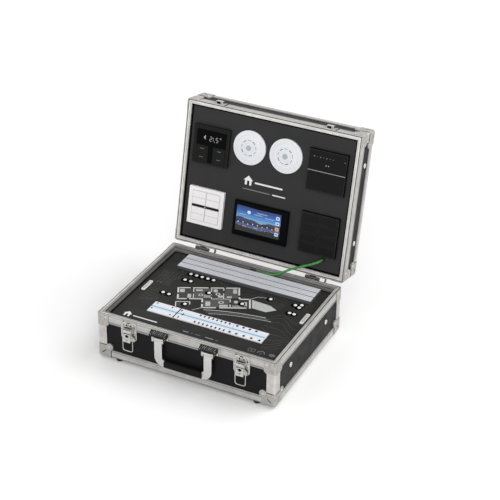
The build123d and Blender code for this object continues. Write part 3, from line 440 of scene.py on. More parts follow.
# Painted shade on the duct covers' sides, darker below the top edge
duct_side_shade = (
    (110.0, 0.3), (111.5, 0.12), (117.0, 0.14), (119.2, 0.22), (119.7, 1.0), (120.5, 1.0),
)
for nodes, finish in (
    (["device_panel"], ("lid_board", (52, 52, 52), 0.6, 1000.0, 0.03, 0.1, 0.1)),
    (["demo_panel"], ("demo_board", (48, 48, 47), 0.5, 1100.0, 0.03, 0.25, 0.08)),
    (["handle_covers"], ("textured_black", (24, 24, 25), 0.5, 500.0, 0.2, 0.3, 0.15)),
    (["handle_grip"], ("grip_black", (16, 16, 17), 0.6, 700.0, 0.1, 0.2, 0.12)),
    (["mains_inlet", "cable_gland", "cable_grommet"],
     ("plain_black", (20, 20, 21), 0.4, 1400.0, 0.03, 0.15)),
    (["finger_pulls"], ("pull_grey", (232, 231, 226), 0.5, 1200.0, 0.04, 0.06)),
    (["panel_lamps"], ("lamp_white", (240, 240, 236), 0.3, 2000.0, 0.01, 0.03, 0.5, 0.2)),
    (["duct_covers"],
     ("duct_top", (214, 216, 222), 0.45, 1300.0, 0.03, 0.05, 0.5, 0.0, duct_side_shade)),
    # The channels' grey is darkened as painted shade in the gaps and on the front wall
    (["duct_channels"], ("duct_wall", (86, 87, 94), 0.5, 1300.0, 0.03, 0.06)),
    (["din_power_supply", "din_controller", "din_output_module"],
     ("din_grey", (214, 216, 219), 0.45, 1200.0, 0.03, 0.04)),
    (["detector_housings"], ("detector_white", (232, 233, 236), 0.4, 900.0, 0.03, 0.03)),
    (["thermostat"], ("anthracite", (28, 28, 26), 0.5, 1300.0, 0.03, 0.12, 0.08)),
    (["thermostat_left_key", "thermostat_right_key"],
     ("key_dark", (26, 27, 25), 0.45, 1300.0, 0.03, 0.12, 0.08)),
):
    dress(moulded(*finish), *nodes)
dress(plated("zinc", (186, 188, 186), 0.36, 0.12, spangle=True), "din_rail")
dress(glossy("keypad_glass", (11, 11, 11), 0.25), "keypad_glasses")
display_glass = dress(glossy("display_glass", (5, 6, 8), 0.15, specular=0.04), "display_glass")
dress(glossy("lens_blue", (178, 185, 192), 0.2, 0.08), "detector_lenses")

# Cable between the two panels, on a smooth line through the part's own route
cable_d = 0.0056
route = (
    (0.0080, 0.0942, 0.1160), (0.0260, 0.0942, 0.1160), (0.0460, 0.0938, 0.1178),
    (0.0660, 0.0940, 0.1240), (0.0830, 0.0976, 0.1345), (0.1010, 0.1016, 0.1455),
    (0.1190, 0.1020, 0.1556), (0.1380, 0.1010, 0.1658), (0.1560, 0.1020, 0.1745),
    (0.1690, 0.1105, 0.1795), (0.1730, 0.1209, 0.1794), (0.1730, 0.1297, 0.1775),
)


def smooth_line(points):
    """The points that a smooth spline through a route's control points runs along."""
    data = bpy.data.curves.new("route", "CURVE")
    data.dimensions = "3D"
    spline = data.splines.new("NURBS")
    spline.points.add(len(points) - 1)
    for target, point in zip(spline.points, points):
        target.co = (*point, 1)
    spline.order_u = 3
    spline.use_endpoint_u = True
    data.resolution_u = 10
    carrier = bpy.data.objects.new("route", data)
    line = bpy.data.meshes.new_from_object(carrier)
    found = [v.co.copy() for v in line.vertices]
    bpy.data.objects.remove(carrier)
    bpy.data.curves.remove(data)
    bpy.data.meshes.remove(line)
    return found


def circle(bm, middle, across, other, radius, sides):
    """Points on a circle in the plane of two directions."""
    turns = [2 * pi * n / sides for n in range(sides)]
    return [bm.verts.new(middle + radius * (cos(t) * across + sin(t) * other)) for t in turns]


def skinned(bm, rings, closed=False):
    """The faces between rings of as many points, and over both ends or back to the first."""
    if closed:
        faces, rings = [], rings + rings[:1]
    else:
        faces = [bm.faces.new(rings[-1]), bm.faces.new(rings[0][::-1])]
    for near, far in zip(rings, rings[1:]):
        for n in range(len(near)):
            m = (n + 1) % len(near)
            faces.append(bm.faces.new((near[n], near[m], far[m], far[n])))
    return faces


def tube(bm, line, radius, sides):
    """A round tube with closed ends along a line of points."""
    ahead = [(b - a).normalized() for a, b in zip(line, line[1:])]
    ahead = [ahead[0]] + [(a + b).normalized() for a, b in zip(ahead, ahead[1:])] + [ahead[-1]]
    across = ahead[0].orthogonal().normalized()
    rings = []
    for point, way in zip(line, ahead):
        across = (across - way * across.dot(way)).normalized()
        rings.append(circle(bm, point, across, way.cross(across), radius, sides))
    skinned(bm, rings)


def link(name, bm, materials):
    """An object from a mesh that is already in place, in metres."""
    mesh = bpy.data.meshes.new(name)
    bmesh.ops.recalc_face_normals(bm, faces=bm.faces)
    bm.to_mesh(mesh)
    bm.free()
    for material in materials:
        mesh.materials.append(material)
    made = bpy.data.objects.new(name, mesh)
    scene.collection.objects.link(made)
    return made


cable_line = smooth_line(route)
cable_mesh = bmesh.new()
tube(cable_mesh, cable_line, cable_d / 2, 20)
cable = link("green_cable", cable_mesh, [jacket()])
cable.data.shade_smooth()
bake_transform(cable)
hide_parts("bus_cable")

# Shapes for the pieces, as outlines in millimetres
square = ((-1, -1), (1, -1), (1, 1), (-1, 1))


def rounded(x, y, w, h, r=0.0):
    """A rectangle about a middle point, with round corners in four steps."""
    if not r:
        return [(x + i * w / 2, y + j * h / 2) for i, j in square]
    points = []
    for quarter, (i, j) in enumerate(((1, 1), (-1, 1), (-1, -1), (1, -1))):
        for step in range(5):
            turn = pi / 2 * (quarter + step / 4)
            corner_x, corner_y = x + i * (w / 2 - r), y + j * (h / 2 - r)
            points.append((corner_x + r * cos(turn), corner_y + r * sin(turn)))
    return points


def oval(x, y, rx, ry=None, n=28):
    """An oval or a circle about a middle point."""
    ry = ry or rx
    return [(x + rx * cos(2 * pi * k / n), y + ry * sin(2 * pi * k / n)) for k in range(n)]


def tray_outline(middle, inset):
    """A tray's own outline, moved in by a distance."""
    return rounded(0, middle, case_w - 2 * inset, case_d - 2 * inset)


def on(face, rise, sink=0.1):
    """The heights of a thin layer on a face, from a little under it."""
    return face - sink, face + rise


def prism(bm, outline, span, slot=0):
    """A solid over an outline, from one height to another."""
    for face in skinned(bm, [[bm.verts.new((x, y, z)) for x, y in outline] for z in span]):
        face.material_index = slot


def ring(bm, outer, inner, span, slot=0):
    """A solid frame between two outlines with as many points."""
    low, high = span
    edges = ((outer, low), (outer, high), (inner, high), (inner, low))
    rings = [[bm.verts.new((x, y, z)) for x, y in line] for line, z in edges]
    for face in skinned(bm, rings, closed=True):
        face.material_index = slot


def border(bm, x, y, outer, inner, span, slot=0):
    """A solid frame between two round-cornered rectangles, given by width, height, radius."""
    ring(bm, rounded(x, y, *outer), rounded(x, y, *inner), span, slot)


def hoop(bm, x, y, outer, inner, span, slot=0, n=28):
    """A solid round frame between two radii."""
    ring(bm, oval(x, y, outer, n=n), oval(x, y, inner, n=n), span, slot)


def stroke(bm, points, width, span, slot=0):
    """A solid line of one width along points, mitred at its corners."""
    line = [Vector(p) for p in points]
    ways = [(b - a).normalized() for a, b in zip(line, line[1:])]
    left, right = [], []
    for n, point in enumerate(line):
        before, after = ways[max(n - 1, 0)], ways[min(n, len(ways) - 1)]
        mean = (before + after).normalized()
        normal = Vector((-mean.y, mean.x))
        reach = width / 2 / max(0.4, normal.dot(Vector((-after.y, after.x))))
        left.append(point + normal * reach)
        right.append(point - normal * reach)
    for n in range(len(line) - 1):
        prism(bm, (right[n], right[n + 1], left[n + 1], left[n]), span, slot)


def piece(name, bm, place, body, materials, soften=0.0):
    """A piece from a mesh in a tray's millimetres, riding on a body."""
    bmesh.ops.transform(bm, matrix=place, verts=bm.verts)
    made = link(name, bm, materials)
    if soften:
        rounding = made.modifiers.new("soften", "BEVEL")
        rounding.width = soften / 1000
        rounding.segments = 2
        rounding.limit_method = "ANGLE"
        rounding.angle_limit = radians(40)
        made.data.shade_smooth()
        made.data.set_sharp_from_angle(angle=radians(50))
    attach(made, body)


# Painted shade: black strips in the grooves of both rims
trays = (("base", BASE, 0.0), ("lid", LID, case_d / 2))
groove = (1.85, 3.25)
for (tray, place, middle), top in zip(trays, (16.6, 5.6)):
    groove_shade = bmesh.new()
    ring(groove_shade, *(tray_outline(middle, inset) for inset in groove), (top - 1.7, top))
    piece(tray + "_rim_groove_shade", groove_shade, place, tray, [shade_and_print_black])

# Painted shade in the slots of the pressed corners, and painted shade lines along the corners'
# edges
corner_backs = (-103.5, -76.5)
slot_shape = [(15 + 4.95 * a - 0.74 * b, 15 + 4.95 * a + 0.74 * b) for a, b in square]
edge_shade_shapes = (rounded(13.5, 34.5, 17.0, 1.0), rounded(34.5, 11.5, 1.0, 18.0))
for (tray, place, middle), back in zip(trays, corner_backs):
    slots = bmesh.new()
    for i, j in square:
        for inward, outward in (((-i, 0, 0), (0, j, 0)), ((0, -j, 0), (i, 0, 0))):
            before = set(slots.verts)
            prism(slots, slot_shape, (-0.05, 1.3))
            for shape in edge_shade_shapes:
                prism(slots, shape, (-0.05, 0.3))
            face = Matrix((inward, (0, 0, 1), outward)).transposed().to_4x4()
            face.translation = (case_w / 2 * i, middle + case_d / 2 * j, back)
            made = [v for v in slots.verts if v not in before]
            bmesh.ops.transform(slots, matrix=face, verts=made)
    piece(tray + "_corner_slot_shade", slots, place, tray, [shade_and_print_black])

# Painted highlight and painted shade lines on the inner wall of both rims
rim_highlight_and_shade = [
    plated("rim_painted_highlight", (222, 221, 219), 0.4, 0.1),
    printed("rim_painted_shade", (70, 70, 72), 0.2, specular=0.1),
]
base_lines = ((12.4, 14.0, 0), (11.0, 12.4, 1), (5.6, 6.8, 0))
lid_lines = ((0.4, 3.0, 0),)
for (tray, place, middle), heights in zip(trays, (base_lines, lid_lines)):
    lines = bmesh.new()
    outlines = [tray_outline(middle, inset) for inset in (10.98, 11.25)]
    for *span, slot in heights:
        ring(lines, *outlines, span, slot)
    piece(tray + "_highlight_and_shade_lines", lines, place, tray, rim_highlight_and_shade)

# Painted shade in the slots between the ribs of the finger pulls
painted_recess_shade = printed("painted_recess_shade", (12, 12, 12), 0.2, specular=0.04)
pull_slots = bmesh.new()
rib_step = 46 / 11
slant, half_l, half_w = radians(30), 2.95, 0.68
along = Vector((cos(slant), sin(slant))) * half_l
across = Vector((-sin(slant), cos(slant))) * half_w
for x, y in ((-204.5, -4.0), (205.0, 37.0)):
    for n in range(9):
        middle = Vector((x, y + (n - 4) * rib_step))
        prism(pull_slots, [middle + i * along + j * across for i, j in square], (1.2, 2.45))
piece("pull_slots", pull_slots, BASE, "base", [painted_recess_shade])


# Latches: domed rivets and pressed ridges on the plates, a coil on the levers, and recesses and
# gaps painted dark as shade
def turned(bm, start, ahead, profile, sides=16):
    """A round shape about an axis from radii at places along it."""
    start, ahead = Vector(start), Vector(ahead)
    across = ahead.orthogonal().normalized()
    other = ahead.cross(across)
    rings = [circle(bm, start + at * ahead, across, other, r, sides) for at, r in profile]
    for face in skinned(bm, rings):
        face.smooth = True


def dome(share=1.0):
    """Half a round rivet head, by a share of the common radius."""
    heights = ((0.0, 0), (0.45, 25), (0.85, 50), (1.1, 78))
    return [(rise, share * 2.3 * cos(radians(a))) for rise, a in heights]


latch = [chrome, painted_recess_shade]
plate_out, lever_out, hook_out, skin_v = 1.5, 12.0, 3.8, case_d + 1.2
for side, x in zip(hands, (-149.0, 149.0)):
    fittings = bmesh.new()
    shade_span = on(plate_out, 0.08)
    for i in (-1, 1):
        for up in (9.5, -17.0):
            turned(fittings, (x + 15.5 * i, up, plate_out - 0.1), (0, 0, 1), dome())
        wing = [(x + i * a, b) for a, b in ((3.5, 12.5), (9.0, 13.5), (12.0, 8.0), (11.0, 1.0))]
        stroke(fittings, wing, 1.5, on(plate_out, 0.8))
        wing = [(x + i * a, b) for a, b in ((18.6, 13.0), (18.6, -18.0), (15.0, -30.0))]
        stroke(fittings, wing, 0.9, on(plate_out, 0.5))
        prism(fittings, oval(x + 5.6 * i, 5.4, 1.9, 2.6, 16), shade_span, 1)
        prism(fittings, rounded(x + 14.4 * i, 2.4, 1.3, 7.0, 0.5), shade_span, 1)
        prism(fittings, rounded(x + 16.4 * i, -26.0, 1.3, 6.0, 0.5), shade_span, 1)
    prism(fittings, rounded(x - 1.0, 11.6, 8.0, 3.0, 1.0), shade_span, 1)
    prism(fittings, oval(x - 14.0, 14.0, 3.2, 1.1, 16), shade_span, 1)
    piece(side + "_latch_ridges", fittings, FRONT, "base", latch)

    coil = bmesh.new()
    wire = ((0.2, 2.0), (0.6, 2.75), (1.3, 2.75), (1.7, 2.0))
    steps = [(at + 1.9 * n, radius) for n in range(9) for at, radius in wire]
    turned(coil, (x - 8.6, -6.5, 10.5), (1, 0, 0), [(0.0, 2.2)] + steps)
    for recess in (
        ((-8.6, -10.6), (8.6, -10.6), (8.0, -13.4), (0, -12.2), (-8.0, -13.4)),
        ((0, -14.2), (6.2, -18.6), (0, -23.8), (-6.2, -18.6)),
    ):
        prism(coil, [(x + a, b) for a, b in recess], on(lever_out, 0.06), 1)
    for i in (-1, 1):
        wing = [(x + i * a, b) for a, b in ((4.8, -24.0), (8.9, -19.6), (9.0, -14.0))]
        stroke(coil, wing, 1.0, on(lever_out, 0.7))
        turned(coil, (x + 5.6 * i, -28.4, lever_out + 0.5), (0, 0, 1), dome(0.7))
    prism(coil, rounded(x, -28.6, 6.0, 1.6, 0.6), (lever_out + 0.3, lever_out + 0.95), 1)
    piece(side + "_lever_coil", coil, FRONT, side + "_lever", latch)

    hook = bmesh.new()
    shade_span = on(hook_out, 0.06)
    # A painted shadow round the catch's plate, and painted shade in its slots
    prism(hook, rounded(x, case_d + 0.2, 34.0, 0.7), (-16.0, 4.6), 1)
    for i in (-1, 1):
        turned(hook, (x + 11.8 * i, case_d + 1.4, -4.0), (0, 1, 0), dome(0.75), 12)
        prism(hook, rounded(x + 11.8 * i, skin_v, 4.0, 0.9), (0.4, 3.6), 1)
        prism(hook, rounded(x + 7.4 * i, skin_v, 1.6, 0.9), (-12.4, -6.0), 1)
    for width, *span in ((24.0, -13.4, -10.8), (11.0, -8.0, -1.6)):
        prism(hook, rounded(x, skin_v, width, 0.9), span, 1)
    prism(hook, rounded(x - 2.4, case_d + 4.5, 11.4, 5.6, 1.0), shade_span, 1)
    prism(hook, rounded(x + 6.6, case_d + 4.0, 1.2, 4.4, 0.5), shade_span, 1)
    piece(side + "_catch_rivets", hook, LID, "lid", latch)

# Handle covers: slanted ridges and two studs on each sloping top
slope = Vector((0, 12.0, 7.0)).normalized()
above = Vector((0, -7.0, 12.0)).normalized()
for side, x in zip(hands, (-65.5, 65.5)):
    sloping = Matrix(
        ((1, 0, 0, x), (0, slope.y, above.y, -200.5), (0, slope.z, above.z, 7.5), (0, 0, 0, 1))
    )
    ridges = bmesh.new()
    for n in range(8):
        at = -17.6 + 5.0 * n
        stroke(ridges, [(at - 1.6, 4.4), (at + 1.6, 11.6)], 1.3, on(0, 0.4), 2 if n % 3 else 0)
    stroke(ridges, [(-21, 2.4), (21, 2.4)], 1.0, on(0, 0.3))
    for at in (-19.5, 19.5):
        prism(ridges, oval(at, 1.6, 1.0, 1.0, 12), on(0, 0.4), 1)
    grey, pale = (
        moulded(f"ridge_{tone}_{side}", colour, 0.4, 900.0, 0.05, 0.3, 0.3)
        for tone, colour in (("grey", (84, 86, 86)), ("pale", (138, 142, 142)))
    )
    place = BASE @ sloping
    piece(side + "_cover_ridges", ridges, place, "base", [grey, nickel, pale])

# Thermostat: a dark window with lit numbers, a gloss stem and dashes on the keys
thermo_x, thermo_v = -158.5, 266.0
front, key_front = 8.0, 8.8
window = bmesh.new()
prism(window, rounded(thermo_x, thermo_v + 18.5, 83, 40, 1.0), on(front, 0.5, 0.2))
prism(window, rounded(thermo_x, thermo_v - 23.0, 12.5, 43.5, 0.6), on(front, 0.45, 0.2))
piece("thermostat_window", window, LID, "lid", [display_glass], 0.2)

segments = {
    "a": ((0.12, 1.0), (0.88, 1.0)), "b": ((1.0, 0.93), (1.0, 0.57)),
    "c": ((1.0, 0.43), (1.0, 0.07)), "d": ((0.12, 0.0), (0.88, 0.0)),
    "e": ((0.0, 0.43), (0.0, 0.07)), "f": ((0.0, 0.93), (0.0, 0.57)),
    "g": ((0.12, 0.5), (0.88, 0.5)),
}
strokes_of = {"1": "bc", "2": "abged", "5": "afgcd"}
digits = bmesh.new()
lit = front + 0.5
for digit, at in (("2", -5.0), ("1", -1.0), ("5", 12.5)):
    left = thermo_x + at
    for name in strokes_of[digit]:
        ends = [(left + 6.0 * a, thermo_v + 12.0 + 11.0 * b) for a, b in segments[name]]
        stroke(digits, ends, 1.3, on(lit, 0.1))
prism(digits, oval(thermo_x + 8.6, thermo_v + 11.6, 1.0), on(lit, 0.1))
hoop(digits, thermo_x + 25.0, thermo_v + 23.0, 2.0, 1.1, on(lit, 0.1))
arrow = ((-22.0, 19.0), (-16.5, 12.5), (-16.5, 25.5))
prism(digits, [(thermo_x + x, thermo_v + y) for x, y in arrow], on(lit, 0.1))
pale_digits = glowing("pale_digits", (150, 148, 140), 0.2)
piece("thermostat_digits", digits, LID, "lid", [pale_digits])

dash_ink = printed("dash_ink", (112, 114, 98))
for side, key in ((-1, "thermostat_left_key"), (1, "thermostat_right_key")):
    marks = bmesh.new()
    for up in (-10.5, -32.5):
        outline = rounded(thermo_x + side * 24, thermo_v + up, 10.5, 1.4, 0.4)
        prism(marks, outline, on(key_front, 0.12))
    piece(key + "_dashes", marks, LID, key, [dash_ink])

# Light switch: a gloss bar across with a painted glint on it that glows, and fine frames on the
# rockers
switch_x, switch_v = -157.0, 104.5
bar = bmesh.new()
prism(bar, rounded(switch_x, switch_v, 77.0, 5.9, 0.5), (front + 0.2, front + 0.9))
bar_gloss = glossy("bar_gloss", (14, 14, 14), 0.15)
piece("switch_bar", bar, LID, "lid", [bar_gloss], 0.2)
# A painted glint on the gloss bar, amber and green, glowing by emission
glint = bmesh.new()
on_bar = (front + 0.8, front + 1.05)
prism(glint, oval(switch_x - 1.6, switch_v, 1.5, 1.1), on_bar, 0)
prism(glint, oval(switch_x + 2.0, switch_v, 1.2, 0.9), on_bar, 1)
glint_glows = [
    glowing("amber_glint", (196, 176, 84), 0.25),
    glowing("green_glint", (108, 150, 72), 0.2),
]
piece("switch_bar_glint", glint, LID, "lid", glint_glows)
line_ink = printed("frame_ink", (176, 174, 178), 0.05)
for i, side in zip((-1, 1), hands):
    for j, rise in ((-1, "lower"), (1, "upper")):
        fields = bmesh.new()
        middle = (switch_x + i * 19.4, switch_v + j * 21.3)
        border(fields, *middle, (38.0, 35.4, 0.8), (36.6, 34.0, 0.6), on(key_front, 0.08))
        prism(fields, rounded(*middle, 36.8, 0.9), on(key_front, 0.08))
        name = f"rocker_{rise}_{side}"
        piece(name + "_fields", fields, LID, name, [line_ink])

# Keypads: a thin frame line, marks and a light bar on the glass
glass = 8.0
keypad_edge = ((99.6, 102.6, 1.6), (98.6, 101.6, 1.2))
faint_ink = printed("faint_ink", (60, 60, 60))
pale_ink = printed("pale_ink", (158, 158, 160))
mid_ink = printed("mid_ink", (112, 112, 114))
upper = bmesh.new()
ux, uv = 156.0, 267.0
border(upper, ux, uv, *keypad_edge, on(glass, 0.08), 2)
prism(upper, rounded(ux, uv - 1.0, 99.0, 1.5), on(glass, 0.35), 0)
for n, width in enumerate((3.4, 0.9, 2.2, 2.0, 2.4, 2.0, 1.4)):
    prism(upper, rounded(ux - 36 + 8.2 * n, uv + 34.5, width, 1.6, 0.3), on(glass, 0.1), n % 2)
prism(upper, rounded(ux + 44.5, uv + 34.0, 3.6, 1.4, 0.3), on(glass, 0.1), 1)
for x in (-3.2, 3.2):
    prism(upper, oval(ux + x, uv + 16.5, 1.5), on(glass, 0.12), 0)
piece("upper_keypad_marks", upper, LID, "lid", [pale_ink, mid_ink, faint_ink])
lower = bmesh.new()
lx, lv = 155.0, 106.0
border(lower, lx, lv, *keypad_edge, on(glass, 0.08))
for n in range(4):
    for x in (lx - 24.5, lx + 24.5):
        field = ((45.0, 21.0, 2.0), (44.2, 20.2, 1.8))
        border(lower, x, lv + 37.5 - 25 * n, *field, on(glass, 0.06), 1)
fainter_ink = printed("fainter_ink", (36, 36, 36))
piece("lower_keypad_marks", lower, LID, "lid", [faint_ink, fainter_ink])

# Display: a generic lake at dusk behind the glass front, with small icons
screen_x, screen_v, screen_w, screen_h = -8.0, 101.0, 122.0, 66.0
left, right = screen_x - screen_w / 2, screen_x + screen_w / 2
bottom, top = screen_v - screen_h / 2, screen_v + screen_h / 2
picture = bmesh.new()


def hill(points, rise, slot):
    """A band of the picture from its bottom edge up to a line of points."""
    outline = [(left, bottom), (right, bottom)]
    outline += [(left + screen_w * a, bottom + screen_h * b) for a, b in reversed(points)]
    prism(picture, outline, on(glass, rise), slot)


def ridge(base, reach, step, start):
    """A rough line of hills: two waves and a small saw."""
    waves = [sin(start + s / 3.1) + 0.5 * sin(start + s / 1.3) + step * (s % 2) for s in range(25)]
    return [(s / 24, base + reach * wave) for s, wave in enumerate(waves)]


for n in range(6):
    edge = 1 - n * 0.1
    hill([(0.0, edge), (0.5, edge - 0.03), (1.0, edge - 0.01)], 0.02 + 0.01 * n, n)
hill(ridge(0.5, 0.05, 0.0, 0.4), 0.09, 6)
hill(ridge(0.4, 0.045, 0.3, 2.2), 0.1, 7)
hill([(0, 0.33), (0.4, 0.31), (1, 0.34)], 0.11, 8)
for n in range(7):
    shine = rounded(left + 9 + 15.5 * n, bottom + 15 - (n % 3), 9 + n % 4, 1.3, 0.5)
    prism(picture, shine, on(glass, 0.125), 9 if n % 2 else 11)
hill(ridge(0.17, 0.03, 0.9, 1.1), 0.14, 12)
for n in range(9):
    light = oval(left + 7 + 13.4 * n, bottom + 22.6 + 1.6 * sin(2.3 * n), 1.5, 1.9, 10)
    prism(picture, light, on(glass, 0.13), 9 if n % 3 else 10)
prism(picture, oval(left + 34, bottom + 52, 4.6), on(glass, 0.11), 10)
for x, y, w in ((70, 55, 30), (60, 50, 22), (92, 47, 26), (18, 44, 20)):
    prism(picture, rounded(left + x, bottom + y, w, 2.2, 1.0), on(glass, 0.1), 5)
for n, light in enumerate((10, 9, 10, 10)):
    icon = (right - 8.5, bottom + 12 + 14 * n)
    prism(picture, rounded(*icon, 10, 9, 2.0), on(glass, 0.17), light)
    prism(picture, rounded(*icon, 5, 4, 1.0), on(glass, 0.2), 2)
sky = {
    "deep": (20, 54, 112), "high": (28, 74, 138), "mid": (44, 98, 164),
    "pale": (66, 122, 182), "haze": (104, 140, 176), "cloud": (136, 146, 164),
}
lights = [glowing("sky_" + name, colour, 0.3, 0.25) for name, colour in sky.items()]
lights += [
    glowing("far_hill", (40, 50, 84), 0.25, 0.3),
    glowing("near_hill", (24, 34, 44), 0.2, 0.4),
    glowing("lake", (58, 78, 128), 0.25, 0.3),
    glowing("warm_light", (214, 158, 88), 0.4, 0.2),
    glowing("white_light", (186, 196, 214), 0.35, 0.15),
    glowing("dim_light", (150, 104, 62), 0.35, 0.2),
    glowing("shore", (18, 30, 22), 0.15, 0.4),
]
piece("display_picture", picture, LID, "lid", lights)
bezel = bmesh.new()
inner = (screen_w, screen_h, 0.4)
border(bezel, screen_x, screen_v, (screen_w + 2.4, screen_h + 2.4, 0.8), inner, on(glass, 0.3))
piece("display_bezel", bezel, LID, "lid", [device_black])

# Detectors: arcs of painted shade in the vents, darker and lighter in turn, fine rings, and a hub
# round each lens
dome_top, dome_r, detector_v = 9.5, 202.9, 283
for n, x in enumerate((-55.0, 44.0)):
    vent_shade = bmesh.new()
    for k in range(9):
        turns = [radians(40 * k - 3 + 26 * step / 6) for step in range(7)]
        arc = [(x + 19.4 * cos(turn), detector_v + 19.4 * sin(turn)) for turn in turns]
        stroke(vent_shade, arc, 1.7 if k % 2 else 1.3, (7.2, 8.62), k % 2)
    for r, wide in ((12.0, 0.8), (15.4, 0.5), (23.6, 0.5), (31.8, 0.5), (34.6, 0.4), (39.4, 0.5)):
        up = on(dome_top - r**2 / (2 * dome_r), 0.05, 0.4)
        hoop(vent_shade, x, detector_v, r + wide / 2, r - wide / 2, up, 2, 48)
    hoop(vent_shade, x, detector_v, 7.8, 5.25, on(dome_top, 0.35, 0.4), 3, 32)
    tones = (
        ("vent_shade_pale", (140, 142, 150), 0.3), ("vent_shade_dark", (52, 54, 62), 0.1),
        ("ring_pale", (204, 205, 212), 0.3), ("hub_grey", (190, 200, 208), 0.3),
    )
    inks = [printed(f"{name}_{n + 1}", tone, specular=gloss) for name, tone, gloss in tones]
    piece(f"detector_vents_{n + 1}", vent_shade, LID, "lid", inks)

# Rail devices: printed fronts with a blue stripe, and rows of small openings whose insides are
# painted dark as shade
device_front = 2.0
opening_shade = printed("opening_shade", (12, 13, 15), specular=0.05)
for name, x0, x1 in (
    ("din_power_supply", -148.3, -78.2),
    ("din_controller", -76.3, 67.3),
    ("din_output_module", 67.7, 157.3),
):
    plate = bmesh.new()
    prism(plate, rounded((x0 + x1) / 2, row_y, x1 - x0 - 2.0, 42.6, 0.8), on(device_front, 0.25))
    piece(name + "_label", plate, BASE, "base", [label()], 0.1)
marks = bmesh.new()
marks_out = device_front + 0.15
raised = (marks_out, marks_out + 0.3)
# Painted shade in the gap between the first two fronts
prism(marks, rounded(-77.7, row_y, 2.4, 44.4, 0.2), (device_front - 0.2, marks_out - 0.05))
for n in range(8):
    for y in (row_y + 15.5, row_y - 15.5):
        prism(marks, rounded(-21.5 + 11.1 * n, y, 3.9, 7.4, 0.8), raised)
holes = [(x, 15.5, 3.3) for x in (76.5, 93.0, 109.5, 126.5)]
holes += [(x, -15.5, 3.3) for x in (71.5, 89.0, 108.5, 128.5, 149.5)]
holes += [(-139.5, 16, 2.3), (-98, 15, 2.3), (-142, -9, 2.3), (-88, -15.5, 2.3)]
for x, y, r in holes:
    prism(marks, oval(x, row_y + y, r), raised)
for x, y in ((-71.5, 14), (-66.5, -15)):
    prism(marks, rounded(x, row_y + y, 3.4, 6.4, 0.6), raised)
prism(marks, rounded(-62, row_y, 9.5, 2.2, 0.4), raised)
prism(marks, rounded(-62, row_y, 2.2, 9.5, 0.4), (marks_out, marks_out + 0.35))
piece("rail_device_marks", marks, BASE, "base", [opening_shade])

# Print on the lower panel: a generic ground plan, contour lines and small signs
plan_x, plan_y, plan_turn, plan_stretch = -131, 23, radians(26.4), 1.1


def ink(rise=0.0):
    """The heights of a layer of print."""
    return -0.05, 0.05 + rise


def plan(u, w):
    """A point of the ground plan, along its long wall and across it."""
    along, across = cos(plan_turn), sin(plan_turn)
    w *= plan_stretch
    return (plan_x + u * along - w * across, plan_y + u * across + w * along)


walls = bmesh.new()
wall_runs = {
    4.2: (
        (0, 0, 30, 0), (36, 0, 74, 0), (80, 0, 112, 0), (118, 0, 150, 0), (0, 2.1, 0, -20),
        (0, -27, 0, -47.5), (0, -46, 22, -46), (28, -46, 62, -46), (60, -46, 60, -60),
        (60, -67, 60, -84), (60, -82, 94, -82), (102, -82, 168, -82), (150, 2.1, 150, -30),
        (150, -38, 152, -46), (152, -46, 176, -46), (176, -44, 176, -84),
    ),
    2.4: (
        (38, 0, 38, -18), (38, -25, 38, -46), (82, 0, 82, -30), (82, -38, 82, -46),
        (82, -46, 126, -46), (112, 0, 112, -12), (112, -22, 112, -46), (128, -46, 128, -60),
        (128, -68, 128, -82), (-4, -58, 30, -58), (-4, -58, -4, -78), (30, -58, 30, -70),
    ),
    1.4: ((60, -82, 36, -92),),
    1.2: ((176, -46, 196, -36), (196, -36, 236, -44)),
}
for width, found in wall_runs.items():
    for u, w, to_u, to_w in found:
        stroke(walls, [plan(u, w), plan(to_u, to_w)], width, ink())
rooms = {
    (1, 0.0): ((19, -23, 32, 40), (97, -23, 26, 40), (152, -64, 42, 30), (13, -68, 28, 16)),
    (3, 0.0): ((60, -23, 40, 40), (131, -23, 32, 40), (94, -64, 62, 30)),
    (2, 0.02): (
        (10, -12, 12, 14), (28, -34, 9, 16), (52, -10, 16, 7), (92, -12, 10, 12),
        (104, -36, 12, 9), (140, -14, 10, 18), (74, -66, 12, 18), (112, -74, 20, 8),
        (142, -58, 9, 10), (163, -66, 12, 16), (126, -38, 12, 6),
    ),
}
for (slot, up), found in rooms.items():
    for u, w, across, deep in found:
        corners = [plan(u + i * across / 2, w + j * deep / 2) for i, j in square]
        prism(walls, corners, ink(up), slot)
for n in range(9):
    stroke(walls, [plan(64 + 1.9 * n, -28), plan(64 + 1.9 * n, -42)], 0.7, ink(0.02))
    stroke(walls, [plan(132 + 2.4 * n, -72), plan(136 + 2.4 * n, -79)], 0.7, ink(0.02))
for u, w, r in ((56, -30, 5.5), (98, -26, 6), (106, -60, 6.5)):
    prism(walls, oval(*plan(u, w), r), ink(0.02), 0)
    prism(walls, oval(*plan(u, w), r * 0.62), ink(0.03), 1)
lawn = ((181, -48), (226, -72), (240, -90), (214, -98), (181, -82))
prism(walls, [plan(u, w) for u, w in lawn], ink(), 2)
for w, near, wide, slot in ((-91, 64, 1.8, 0), (-99, 70, 5.0, 3), (-106, 76, 1.2, 0)):
    arc = [plan(near + 150 * k / 24, w - 30 * (k / 24) ** 1.6) for k in range(25)]
    stroke(walls, arc, wide, ink(-0.01), slot)
plan_inks = [
    printed("wall_ink", (214, 214, 210), 0.2, 0.2),
    printed("room_ink", (58, 58, 57), 0.25, 0.3),
    printed("area_ink", (186, 188, 186), 0.25, 0.35),
    printed("floor_ink", (84, 84, 83), 0.3, 0.4),
]
piece("plan_print", walls, BASE, "base", plan_inks)

